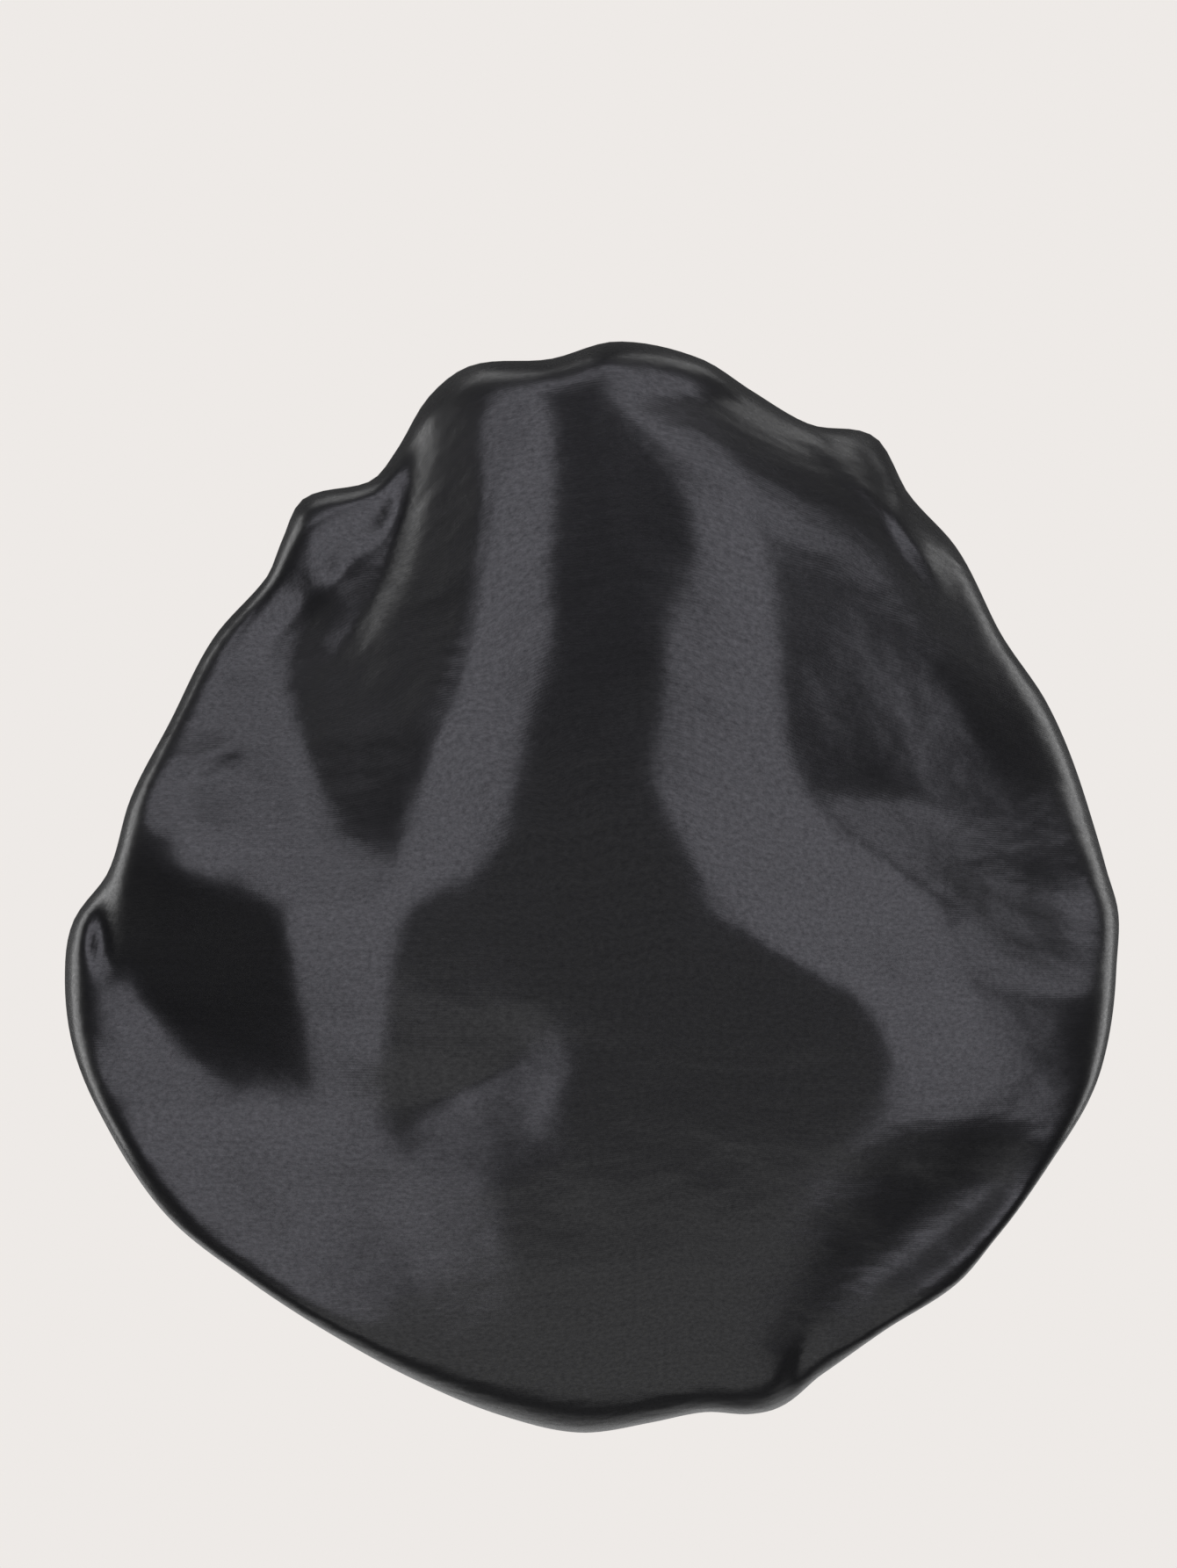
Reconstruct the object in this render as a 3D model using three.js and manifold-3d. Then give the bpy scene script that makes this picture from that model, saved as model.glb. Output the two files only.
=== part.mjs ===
// A slouchy satin hair bonnet, in the shape it has on a head: a gathered crown of two cloth layers,
// sewn to an elastic band, with its loose back hanging as a pouch.
// Millimetres. +Z is up, the wearer faces +Y, and the origin is the middle of the head opening.

import * as THREE from 'three';
import { ParametricGeometry } from 'three/addons/geometries/ParametricGeometry.js';
import { mergeVertices } from 'three/addons/utils/BufferGeometryUtils.js';
import Module from 'manifold-3d';

const wasm = await Module();
wasm.setup();

// Head opening: an ellipse, higher at the forehead than at the nape
const HEAD_HALF_WIDTH = 78;
const HEAD_HALF_LENGTH = 95;
const OPENING_TILT_DEGREES = 40;

// Band: one strip of satin folded at the mouth, with the elastic inside it
const BAND_WIDTH = 50;
const BAND_CLOTH = 0.8;
const ELASTIC_THICKNESS = 1.2;
const ELASTIC_WIDTH = 40;
const CLEARANCE = 0.3;

// Threads and the seam inside the band's upper edge
const THREAD_RADIUS = 0.3;
const JOIN_THREAD = 0.4;
const JOIN_WIDTH = 12;
const SEAM_WIDTH = 1.6;
const ALLOWANCE_THICKNESS = 1.6;
const ALLOWANCE_HEIGHT = 8;
const TOPSTITCH_INSET = 5;

// Blank care label, sewn in at the centre back
const LABEL_WIDTH = 25;
const LABEL_LENGTH = 34;
const LABEL_THICKNESS = 0.5;
const LABEL_DROP = 3;
const LABEL_TACK_HEIGHT = 1;

// Crown cloth
const CROWN_CLOTH = 0.8;
const LAYER_GAP = 0.35;

// Bag, as it hangs behind the head
const BAG_HALF_WIDTH = 160;
const BAG_HALF_HEIGHT = 164;
const BAG_MIDDLE_DROP = 5;
const BAG_BACK = 180;
const RIM_BACK_AT_TOP = 50;
const RIM_BACK_AT_SIDE = 75;
const RIM_BACK_AT_BOTTOM = 125;
const RIM_CURL = 50;
const RIM_CURL_AT_BOTTOM = 20;
const SEAM_CURL = 40;
const SEAM_CURL_AT_BOTTOM = 40;
const SEAM_FLARE_DEGREES = 65;
const PLEAT_HEIGHT = 2.4;

// Swing line: where the pouch folds back from the part that the head carries
const SWING_GAP = 0.3;

// The pouch's deepest point, as shares of the bag's half width and half height
const POLE_ACROSS_SHARE = 0.15;
const POLE_UP_SHARE = -0.27;
const DOME_POWER = 32;
const DOME_ROUND = 2;
const OUTLINE_POWER = 6;

// How far back the swing line lies, as a share of the bag's depth
const SWING_BACK_SHARE = 0.6;

// Seen from behind, the bag's outline, as shares of its half width and half height
const outlineShares = [
  [0.99, -0.16], [1.0, -0.06], [0.98, 0.02], [0.95, 0.13], [0.87, 0.33], [0.78, 0.46], [0.7, 0.62],
  [0.61, 0.72], [0.55, 0.83], [0.42, 0.85], [0.31, 0.91], [0.21, 0.97], [0.05, 1.0], [-0.08, 0.965],
  [-0.23, 0.957], [-0.31, 0.9], [-0.37, 0.8], [-0.42, 0.74], [-0.55, 0.71], [-0.59, 0.63], [-0.62, 0.56],
  [-0.72, 0.45], [-0.8, 0.29], [-0.87, 0.15], [-0.91, 0.02], [-0.985, -0.08], [-1.0, -0.18],
  [-0.98, -0.31], [-0.9, -0.46], [-0.79, -0.61], [-0.64, -0.72], [-0.49, -0.815], [-0.34, -0.9],
  [-0.17, -0.97], [-0.02, -1.0], [0.11, -0.98], [0.21, -0.96], [0.3, -0.965], [0.36, -0.95],
  [0.43, -0.89], [0.55, -0.8], [0.68, -0.72], [0.75, -0.635], [0.85, -0.505], [0.95, -0.35],
];

// Depth of the back on its middle line: up share, depth share
const middleShares = [
  [-1.0, 0.92], [-0.8, 0.99], [-0.55, 1.03], [-0.3, 1.04], [-0.06, 1.04], [0.18, 1.02], [0.43, 0.97],
  [0.67, 0.89], [0.88, 0.8], [1.0, 0.74],
];

// Cross sections of the back from the bottom up: each has its up share, and from left to right the
// places and slopes of the same twenty-three soft lines, as shares of the bag's half width
const sectionShares = [
  [-1.0, [
    [-0.3, -0.8], [-0.27, -0.4], [-0.25, -0.35], [-0.23, -0.3], [-0.21, -0.25], [-0.2, -0.2],
    [-0.18, -0.18], [-0.16, -0.17], [-0.14, -0.17], [-0.12, -0.17], [-0.1, -0.16], [-0.06, -0.15],
    [-0.02, -0.04], [0.04, 0.0], [0.16, 0.1], [0.19, 0.5], [0.24, 0.65], [0.27, 0.65], [0.3, 0.5],
    [0.34, 0.2], [0.37, 0.2], [0.4, 0.2], [0.45, 0.5],
  ]],
  [-0.8, [
    [-0.6, -0.8], [-0.56, -0.4], [-0.53, -0.35], [-0.5, -0.3], [-0.47, -0.25], [-0.44, -0.2],
    [-0.4, -0.18], [-0.35, -0.17], [-0.3, -0.17], [-0.26, -0.17], [-0.22, -0.16], [-0.14, -0.15],
    [-0.08, -0.04], [0.04, 0.0], [0.12, 0.1], [0.18, 0.6], [0.26, 0.65], [0.3, 0.65], [0.34, 0.5],
    [0.39, 0.2], [0.45, 0.2], [0.52, 0.2], [0.6, 0.5],
  ]],
  [-0.55, [
    [-0.9, -0.7], [-0.84, -0.3], [-0.78, -0.28], [-0.72, -0.27], [-0.67, -0.27], [-0.6, -0.27],
    [-0.54, -0.27], [-0.48, -0.27], [-0.42, -0.27], [-0.36, -0.27], [-0.28, -0.28], [-0.2, -0.28],
    [-0.12, -0.06], [0.05, 0.0], [0.42, 0.02], [0.5, 0.1], [0.57, 0.6], [0.63, 0.65], [0.68, 0.65],
    [0.73, 0.5], [0.78, 0.2], [0.84, 0.2], [0.9, 0.3],
  ]],
  [-0.3, [
    [-0.99, -0.7], [-0.93, -0.35], [-0.82, -0.32], [-0.75, -0.72], [-0.6, -0.72], [-0.54, -0.4],
    [-0.5, -0.38], [-0.45, -0.38], [-0.41, -0.35], [-0.35, -0.08], [-0.18, -0.06], [-0.13, -0.24],
    [-0.06, -0.22], [0.0, 0.0], [0.55, 0.03], [0.61, 0.33], [0.71, 0.37], [0.74, 0.5], [0.77, 0.58],
    [0.8, 0.6], [0.84, 0.65], [0.88, 0.75], [0.96, 0.9],
  ]],
  [-0.06, [
    [-0.98, -0.7], [-0.95, -0.8], [-0.88, -0.85], [-0.8, -0.85], [-0.71, -0.85], [-0.65, -0.36],
    [-0.58, -0.35], [-0.5, -0.35], [-0.4, -0.3], [-0.34, -0.12], [-0.2, -0.08], [-0.14, -0.05],
    [-0.1, -0.02], [-0.04, 0.0], [0.2, 0.05], [0.28, 0.3], [0.64, 0.37], [0.71, 0.75], [0.76, 0.75],
    [0.8, 0.75], [0.85, 0.7], [0.9, 0.45], [0.96, 0.4],
  ]],
  [0.18, [
    [-0.9, -0.6], [-0.87, -0.4], [-0.84, -0.28], [-0.8, -0.25], [-0.7, -0.25], [-0.55, -0.28],
    [-0.5, -0.8], [-0.35, -0.8], [-0.3, -0.36], [-0.16, -0.27], [-0.11, -0.05], [-0.08, -0.03],
    [-0.05, -0.01], [-0.02, 0.0], [0.09, 0.05], [0.14, 0.28], [0.36, 0.36], [0.41, 0.75], [0.53, 0.75],
    [0.58, 0.52], [0.73, 0.52], [0.78, 0.8], [0.92, 0.9],
  ]],
  [0.43, [
    [-0.8, -0.6], [-0.78, -0.4], [-0.76, -0.28], [-0.74, -0.26], [-0.68, -0.26], [-0.6, -0.28],
    [-0.54, -0.8], [-0.28, -0.8], [-0.24, -0.33], [-0.08, -0.24], [-0.04, -0.05], [-0.01, -0.03],
    [0.02, -0.01], [0.04, 0.0], [0.1, 0.05], [0.15, 0.22], [0.34, 0.32], [0.38, 0.8], [0.44, 0.8],
    [0.48, 0.52], [0.6, 0.52], [0.66, 0.95], [0.8, 0.95],
  ]],
  [0.67, [
    [-0.62, -0.8], [-0.6, -0.8], [-0.56, -0.6], [-0.52, -0.4], [-0.45, -0.36], [-0.38, -0.4],
    [-0.34, -0.9], [-0.24, -0.9], [-0.21, -0.4], [-0.07, -0.26], [-0.04, -0.05], [-0.01, -0.03],
    [0.02, -0.01], [0.06, 0.0], [0.15, 0.05], [0.2, 0.24], [0.3, 0.36], [0.34, 0.8], [0.38, 0.85],
    [0.41, 0.85], [0.46, 0.9], [0.5, 1.0], [0.66, 1.0],
  ]],
  [0.88, [
    [-0.4, -1.0], [-0.38, -1.0], [-0.36, -1.0], [-0.34, -1.0], [-0.32, -1.0], [-0.3, -1.0],
    [-0.27, -1.0], [-0.23, -1.0], [-0.2, -0.65], [-0.1, -0.45], [-0.08, -0.08], [-0.06, -0.04],
    [-0.04, -0.01], [-0.02, 0.0], [0.01, 0.08], [0.04, 0.4], [0.2, 0.6], [0.22, 0.8], [0.24, 1.0],
    [0.26, 1.0], [0.28, 1.0], [0.3, 1.0], [0.42, 1.0],
  ]],
];
const MIDDLE_LINE = 13;
const LEAST_LINE_SHARE = 0.001;

// Soft folds of the sides and top, between the rim and the band: turn in degrees, half width in
// degrees and height as a share of the bag's half width
const gatherShares = [
  [10, 11, 0.03], [33, 10, -0.035], [53, 9, 0.05], [71, 9, -0.035], [89, 10, 0.045], [109, 9, -0.04],
  [127, 9, 0.055], [147, 10, -0.045], [167, 10, 0.04], [188, 11, -0.035], [208, 10, 0.04], [230, 10, -0.04],
  [252, 10, 0.035], [275, 10, -0.03], [298, 10, 0.04], [320, 10, -0.04], [343, 10, 0.03],
];
const GATHER_PEAK_SHARE = 0.55;
const PLEAT_FADE_SHARE = 0.25;

// Faces round the ring and from the pouch's deepest point to the seam
const COLUMNS = 48;
const BACK_RINGS = 9;
const SIDE_RINGS = 7;
const BAND_STEPS = 72;
const PLATE_STEPS = 6;
const THREAD_SIDES = 6;

const FULL_TURN = 2 * Math.PI;
const RINGS = BACK_RINGS + SIDE_RINGS;
const BACK_TURN = -Math.PI / 2;
const CASING_ROOM = 3 * CLEARANCE + ELASTIC_THICKNESS + JOIN_THREAD;
const BAND_THICKNESS = 2 * BAND_CLOTH + CASING_ROOM;
const BAND_TOP = BAND_WIDTH / 2;

const rad = THREE.MathUtils.degToRad;
const ACROSS = new THREE.Vector3(1, 0, 0);
const FORWARD = new THREE.Vector3(0, 1, 0);
const ALONG = new THREE.Vector3(0, Math.cos(rad(OPENING_TILT_DEGREES)), Math.sin(rad(OPENING_TILT_DEGREES)));
const CROWNWARD = new THREE.Vector3().crossVectors(ACROSS, ALONG);

const satin = { color: 0x18181b, roughness: 0.38, metalness: 0 };
const clothMaterial = () => new THREE.MeshStandardMaterial(satin);
const elasticMaterial = new THREE.MeshStandardMaterial({ color: 0x2b2b2d, roughness: 0.85, metalness: 0 });
const threadMaterial = new THREE.MeshStandardMaterial({ color: 0x101012, roughness: 0.6, metalness: 0 });
const labelMaterial = new THREE.MeshStandardMaterial({ color: 0xd9d7d2, roughness: 0.7, metalness: 0 });

const smooth = (t) => THREE.MathUtils.smoothstep(t, 0, 1);
const mix = THREE.MathUtils.lerp;

// Smooth curve between two values with their slopes
function hermite(from, to, slopeFrom, slopeTo, t) {
  const t2 = t * t;
  const t3 = t2 * t;
  const start = (2 * t3 - 3 * t2 + 1) * from + (t3 - 2 * t2 + t) * slopeFrom;
  return start + (3 * t2 - 2 * t3) * to + (t3 - t2) * slopeTo;
}

// Merged, position-only copy of a closed geometry, without the flat faces that a pole leaves
function solidGeometry(geometry) {
  geometry.deleteAttribute('normal');
  geometry.deleteAttribute('uv');
  const merged = mergeVertices(geometry);
  const index = merged.getIndex().array;
  const kept = [];
  for (let i = 0; i < index.length; i += 3) {
    const [a, b, c] = [index[i], index[i + 1], index[i + 2]];
    if (a !== b && b !== c && c !== a) kept.push(a, b, c);
  }
  merged.setIndex(kept);
  return merged;
}

function toManifold(geometry) {
  const solid = solidGeometry(geometry);
  return new wasm.Manifold(new wasm.Mesh({
    numProp: 3,
    vertProperties: solid.getAttribute('position').array,
    triVerts: new Uint32Array(solid.getIndex().array),
  }));
}

function fromManifold(manifold) {
  const mesh = manifold.getMesh();
  const geometry = new THREE.BufferGeometry();
  geometry.setAttribute('position', new THREE.BufferAttribute(mesh.vertProperties, mesh.numProp));
  geometry.setIndex(new THREE.BufferAttribute(mesh.triVerts, 1));
  geometry.computeVertexNormals();
  return geometry;
}

function named(name, geometry, material) {
  const mesh = new THREE.Mesh(geometry, material);
  mesh.name = name;
  return mesh;
}

// Point beside the head ellipse: out from it in its own plane, and up from the band's middle
function bandPoint(turn, out, up) {
  return new THREE.Vector3()
    .addScaledVector(ACROSS, (HEAD_HALF_WIDTH + out) * Math.cos(turn))
    .addScaledVector(ALONG, (HEAD_HALF_LENGTH + out) * Math.sin(turn))
    .addScaledVector(CROWNWARD, up);
}

function bandOutward(turn) {
  return new THREE.Vector3()
    .addScaledVector(ACROSS, Math.cos(turn) * HEAD_HALF_LENGTH)
    .addScaledVector(ALONG, Math.sin(turn) * HEAD_HALF_WIDTH)
    .normalize();
}

// Distance from the pouch's deepest point to the outline, at each hand-set point in order of turn
const outlinePolar = outlineShares
  .map(([across, up]) => {
    const x = (across - POLE_ACROSS_SHARE) * BAG_HALF_WIDTH;
    const z = (up - POLE_UP_SHARE) * BAG_HALF_HEIGHT;
    return { turn: Math.atan2(z, x), radius: Math.hypot(x, z) };
  })
  .sort((a, b) => a.turn - b.turn);

function outlineRadius(turn) {
  const wrapped = Math.atan2(Math.sin(turn), Math.cos(turn));
  const count = outlinePolar.length;
  const next = outlinePolar.findIndex((point) => point.turn > wrapped);
  const at = (step) => {
    const place = (next < 0 ? count : next) + step;
    const lap = Math.floor(place / count);
    const point = outlinePolar[place - lap * count];
    return { turn: point.turn + lap * FULL_TURN, radius: point.radius };
  };
  const [before, from, to, after] = [at(-2), at(-1), at(0), at(1)];
  const span = to.turn - from.turn;
  const slopeFrom = (to.radius - before.radius) / (to.turn - before.turn) * span;
  const slopeTo = (after.radius - from.radius) / (after.turn - from.turn) * span;
  return hermite(from.radius, to.radius, slopeFrom, slopeTo, (wrapped - from.turn) / span);
}

// Plain egg inside the outline, so that the outline's notches stay near the rim
function eggRadius(turn) {
  const c = Math.cos(turn);
  const s = Math.sin(turn);
  const wide = BAG_HALF_WIDTH * (1 - Math.sign(c) * POLE_ACROSS_SHARE);
  const tall = BAG_HALF_HEIGHT * (1 - Math.sign(s) * POLE_UP_SHARE);
  return 1 / Math.hypot(c / wide, s / tall);
}

// Smooth curve through rows of values set at rising places, read at one place
function blendRows(rows, place) {
  const last = rows.length - 1;
  const at = THREE.MathUtils.clamp(place, rows[0].place, rows[last].place);
  const step = Math.max(0, rows.findIndex((row) => row.place >= at) - 1);
  const before = rows[Math.max(0, step - 1)];
  const from = rows[step];
  const to = rows[step + 1];
  const after = rows[Math.min(last, step + 2)];
  const span = to.place - from.place;
  return from.values.map((value, i) => {
    const slopeFrom = (to.values[i] - before.values[i]) / (to.place - before.place) * span;
    const slopeTo = (after.values[i] - value) / (after.place - from.place) * span;
    return hermite(value, to.values[i], slopeFrom, slopeTo, (at - from.place) / span);
  });
}

const middleRows = middleShares.map(([place, depth]) => ({ place, values: [depth] }));
const sectionRows = sectionShares.map(([place, lines]) => ({ place, values: lines.flat() }));

// How far the back falls away from its middle line, as the cross sections give it, in shares
function sectionFall(across, up) {
  const values = blendRows(sectionRows, up);
  const places = values.filter((value, i) => i % 2 === 0);
  const slopes = values.filter((value, i) => i % 2 === 1);
  const last = places.length - 1;
  const climb = (at) => {
    let total = Math.min(at - places[0], 0) * slopes[0] + Math.max(at - places[last], 0) * slopes[last];
    for (let i = 0; i < last; i++) {
      const width = Math.max(places[i + 1] - places[i], LEAST_LINE_SHARE);
      const run = THREE.MathUtils.clamp(at - places[i], 0, width);
      total += run * slopes[i] + run * run / width / 2 * (slopes[i + 1] - slopes[i]);
    }
    return total;
  };
  return climb(across) - climb(places[MIDDLE_LINE]);
}

// How far behind the opening the bag's back lies
function backDepth(x, z) {
  const across = x / BAG_HALF_WIDTH;
  const up = (z + BAG_MIDDLE_DROP) / BAG_HALF_HEIGHT;
  const [middle] = blendRows(middleRows, up);
  return middle * BAG_BACK - sectionFall(across, up) * BAG_HALF_WIDTH;
}

// How far behind the opening the rim lies
function rimBack(turn) {
  const s = Math.sin(turn);
  return mix(RIM_BACK_AT_SIDE, s > 0 ? RIM_BACK_AT_TOP : RIM_BACK_AT_BOTTOM, s * s);
}

// Point of the bag's back: spread 0 is its deepest point and 1 its rim
function backPoint(turn, spread) {
  const radius = spread * mix(eggRadius(turn), outlineRadius(turn), spread ** OUTLINE_POWER);
  const x = POLE_ACROSS_SHARE * BAG_HALF_WIDTH + radius * Math.cos(turn);
  const z = POLE_UP_SHARE * BAG_HALF_HEIGHT - BAG_MIDDLE_DROP + radius * Math.sin(turn);
  const dome = (1 - spread ** DOME_POWER) ** (1 / DOME_ROUND);
  return new THREE.Vector3(x, -mix(rimBack(turn), backDepth(x, z), dome), z);
}

function gatherHeight(turn, share) {
  let height = 0;
  for (const [middle, width, rise] of gatherShares) {
    const away = Math.atan2(Math.sin(turn - rad(middle)), Math.cos(turn - rad(middle)));
    height += rise * Math.exp(-((away / rad(width)) ** 2));
  }
  const soft = smooth(share / GATHER_PEAK_SHARE) * smooth((1 - share) / (1 - GATHER_PEAK_SHARE));
  const pleat = Math.cos(turn * COLUMNS / 2) * smooth(share) * smooth((1 - share) / PLEAT_FADE_SHARE);
  return height * soft * BAG_HALF_WIDTH + pleat * PLEAT_HEIGHT;
}

// Point between the rim, share 0, and the seam on the band, share 1
function sidePoint(turn, share) {
  const low = Math.max(0, -Math.sin(turn)) ** 2;
  const rim = backPoint(turn, 1);
  const seam = bandPoint(turn, BAND_THICKNESS, BAND_TOP + CLEARANCE);
  const flare = rad(SEAM_FLARE_DEGREES);
  const rimGuide = rim.clone().addScaledVector(FORWARD, mix(RIM_CURL, RIM_CURL_AT_BOTTOM, low));
  const seamReach = mix(SEAM_CURL, SEAM_CURL_AT_BOTTOM, low);
  const seamGuide = seam.clone()
    .addScaledVector(bandOutward(turn), seamReach * Math.cos(flare))
    .addScaledVector(CROWNWARD, seamReach * Math.sin(flare));
  const point = new THREE.CubicBezierCurve3(rim, rimGuide, seamGuide, seam).getPoint(share);
  const rimward = new THREE.Vector3(Math.cos(turn), 0, Math.sin(turn));
  const outward = rimward.lerp(bandOutward(turn), share).normalize();
  return point.addScaledVector(outward, gatherHeight(turn, share));
}

// Grid of the crown's outer face, ring by ring from the deepest point to the seam
const crownGrid = [];
for (let ring = 0; ring <= RINGS; ring++) {
  const row = [];
  for (let column = 0; column < COLUMNS; column++) {
    const turn = FULL_TURN * column / COLUMNS;
    const spread = Math.sin(Math.PI / 2 * Math.min(1, ring / BACK_RINGS));
    const share = (ring - BACK_RINGS) / SIDE_RINGS;
    row.push(ring <= BACK_RINGS ? backPoint(turn, spread) : sidePoint(turn, share));
  }
  crownGrid.push(row);
}

// Direction out of the cloth at a grid point: square to the band's wall at the seam
function crownOutward(ring, column) {
  if (ring === 0) return FORWARD.clone().negate();
  const turn = FULL_TURN * column / COLUMNS;
  if (ring === RINGS) return bandOutward(turn);
  const here = crownGrid[ring][column];
  const next = crownGrid[ring][(column + 1) % COLUMNS].clone().sub(here);
  const last = here.clone().sub(crownGrid[ring][(column + COLUMNS - 1) % COLUMNS]);
  const onward = crownGrid[ring + 1][column].clone().sub(here);
  const inward = here.clone().sub(crownGrid[ring - 1][column]);
  const outward = new THREE.Vector3();
  for (const around of [next, last]) {
    for (const along of [onward, inward]) {
      outward.add(new THREE.Vector3().crossVectors(along, around).normalize());
    }
  }
  return outward.normalize();
}

const crownNormals = crownGrid.map((row, ring) => row.map((point, column) => crownOutward(ring, column)));

// One closed cloth layer between two depths below the crown's outer face.
// Both faces split each square along the same diagonal, so that layers stay parallel.
function crownLayer(depthAt) {
  const points = [];
  const index = [];
  const faceSize = 1 + RINGS * COLUMNS;
  const vertex = (inner, ring, column) => (
    (inner ? faceSize : 0) + (ring ? 1 + (ring - 1) * COLUMNS + column % COLUMNS : 0)
  );
  for (const inner of [false, true]) {
    crownGrid.forEach((row, ring) => row.slice(0, ring ? COLUMNS : 1).forEach((point, column) => {
      const sunk = point.clone().addScaledVector(crownNormals[ring][column], -depthAt(ring, inner));
      points.push(...sunk);
    }));
  }
  const triangle = (inner, a, b, c) => index.push(...(inner ? [a, c, b] : [a, b, c]));
  for (let column = 0; column < COLUMNS; column++) {
    for (const inner of [false, true]) {
      const at = (ring, step) => vertex(inner, ring, column + step);
      triangle(inner, at(0, 0), at(1, 0), at(1, 1));
      for (let ring = 1; ring < RINGS; ring++) {
        triangle(inner, at(ring, 0), at(ring + 1, 0), at(ring + 1, 1));
        triangle(inner, at(ring, 0), at(ring + 1, 1), at(ring, 1));
      }
    }
    const edge = (inner, step) => vertex(inner, RINGS, column + step);
    index.push(edge(false, 0), edge(true, 0), edge(true, 1), edge(false, 0), edge(true, 1), edge(false, 1));
  }
  const layer = new THREE.BufferGeometry();
  layer.setAttribute('position', new THREE.Float32BufferAttribute(points, 3));
  layer.setIndex(index);
  return layer;
}

function outerDepth(ring, inner) {
  return inner ? CROWN_CLOTH : 0;
}

// The lining lies close under the outer layer and spreads to the band's inner edge at the seam
function liningDepth(ring, inner) {
  const near = CROWN_CLOTH + LAYER_GAP;
  const outerFace = ring === RINGS ? BAND_THICKNESS - CROWN_CLOTH : near;
  return outerFace + (inner ? CROWN_CLOTH : 0);
}

// Block that holds all that lies behind the swing line, moved off it by an offset
function pouchBlock(offset) {
  const size = 2 * (BAG_HALF_WIDTH + BAG_HALF_HEIGHT);
  const block = new THREE.BoxGeometry(size, size, size);
  block.translate(0, -size / 2 - SWING_BACK_SHARE * BAG_BACK - offset, 0);
  return toManifold(block);
}

function splitCrown(name, depthAt) {
  const layer = toManifold(crownLayer(depthAt));
  const front = layer.subtract(pouchBlock(-SWING_GAP / 2));
  const pouch = layer.intersect(pouchBlock(SWING_GAP / 2));
  return [
    named(name, fromManifold(front), clothMaterial()),
    named(`${name}_pouch`, fromManifold(pouch), clothMaterial()),
  ];
}

// Flat-walled ring or part of a ring that follows the head ellipse
function bandPlate(outFrom, outTo, upFrom, upTo, halfTurn = 0) {
  const point = (turn, out) => new THREE.Vector2(
    (HEAD_HALF_WIDTH + out) * Math.cos(turn),
    (HEAD_HALF_LENGTH + out) * Math.sin(turn),
  );
  const steps = halfTurn ? PLATE_STEPS : BAND_STEPS;
  const turns = Array.from({ length: halfTurn ? steps + 1 : steps }, (_, i) => (
    halfTurn ? BACK_TURN + halfTurn * (2 * i / steps - 1) : FULL_TURN * i / steps
  ));
  const outer = turns.map((turn) => point(turn, outTo));
  const inner = turns.map((turn) => point(turn, outFrom)).reverse();
  const shape = new THREE.Shape(halfTurn ? outer.concat(inner) : outer);
  if (!halfTurn) shape.holes.push(new THREE.Path(inner));
  const plate = new THREE.ExtrudeGeometry(shape, { depth: upTo - upFrom, steps: 1, bevelEnabled: false });
  plate.translate(0, 0, upFrom);
  plate.applyMatrix4(new THREE.Matrix4().makeBasis(ACROSS, ALONG, CROWNWARD));
  return plate;
}

// Half the turn that a piece of a given width takes at the centre back
const halfTurnOf = (width) => Math.asin(width / 2 / HEAD_HALF_WIDTH);

function threadRing(out, up, radius) {
  return solidGeometry(new ParametricGeometry((u, v, target) => {
    const around = -FULL_TURN * u;
    target.copy(bandPoint(FULL_TURN * v, out + radius * Math.cos(around), up + radius * Math.sin(around)));
  }, THREAD_SIDES, BAND_STEPS));
}

function bandCasing() {
  const strip = toManifold(bandPlate(0, BAND_THICKNESS, -BAND_TOP, BAND_TOP));
  const channel = toManifold(bandPlate(
    BAND_CLOTH, BAND_THICKNESS - BAND_CLOTH, BAND_CLOTH - BAND_TOP, BAND_TOP + BAND_CLOTH,
  ));
  return named('band_casing', fromManifold(strip.subtract(channel)), clothMaterial());
}

function bandInside() {
  const elasticIn = BAND_CLOTH + CLEARANCE;
  const elasticOut = elasticIn + ELASTIC_THICKNESS;
  const elasticLow = BAND_CLOTH + CLEARANCE - BAND_TOP;
  const elasticTop = elasticLow + ELASTIC_WIDTH;
  const joinIn = elasticOut + CLEARANCE;
  return [
    named('band_elastic', bandPlate(elasticIn, elasticOut, elasticLow, elasticTop), elasticMaterial),
    named(
      'elastic_join_stitching',
      bandPlate(
        joinIn, joinIn + JOIN_THREAD, elasticLow + CLEARANCE, elasticTop - CLEARANCE, halfTurnOf(JOIN_WIDTH),
      ),
      threadMaterial,
    ),
  ];
}

function bandThreads() {
  const outside = BAND_THICKNESS + CLEARANCE;
  const topstitchUp = BAND_TOP - TOPSTITCH_INSET;
  const seamLow = THREAD_RADIUS + CLEARANCE;
  return [
    named(
      'topstitch_thread',
      threadRing(outside + THREAD_RADIUS, topstitchUp, THREAD_RADIUS),
      threadMaterial,
    ),
    named(
      'band_join_stitching',
      bandPlate(
        outside, outside + JOIN_THREAD, CLEARANCE - BAND_TOP, topstitchUp - seamLow, halfTurnOf(SEAM_WIDTH),
      ),
      threadMaterial,
    ),
  ];
}

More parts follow.
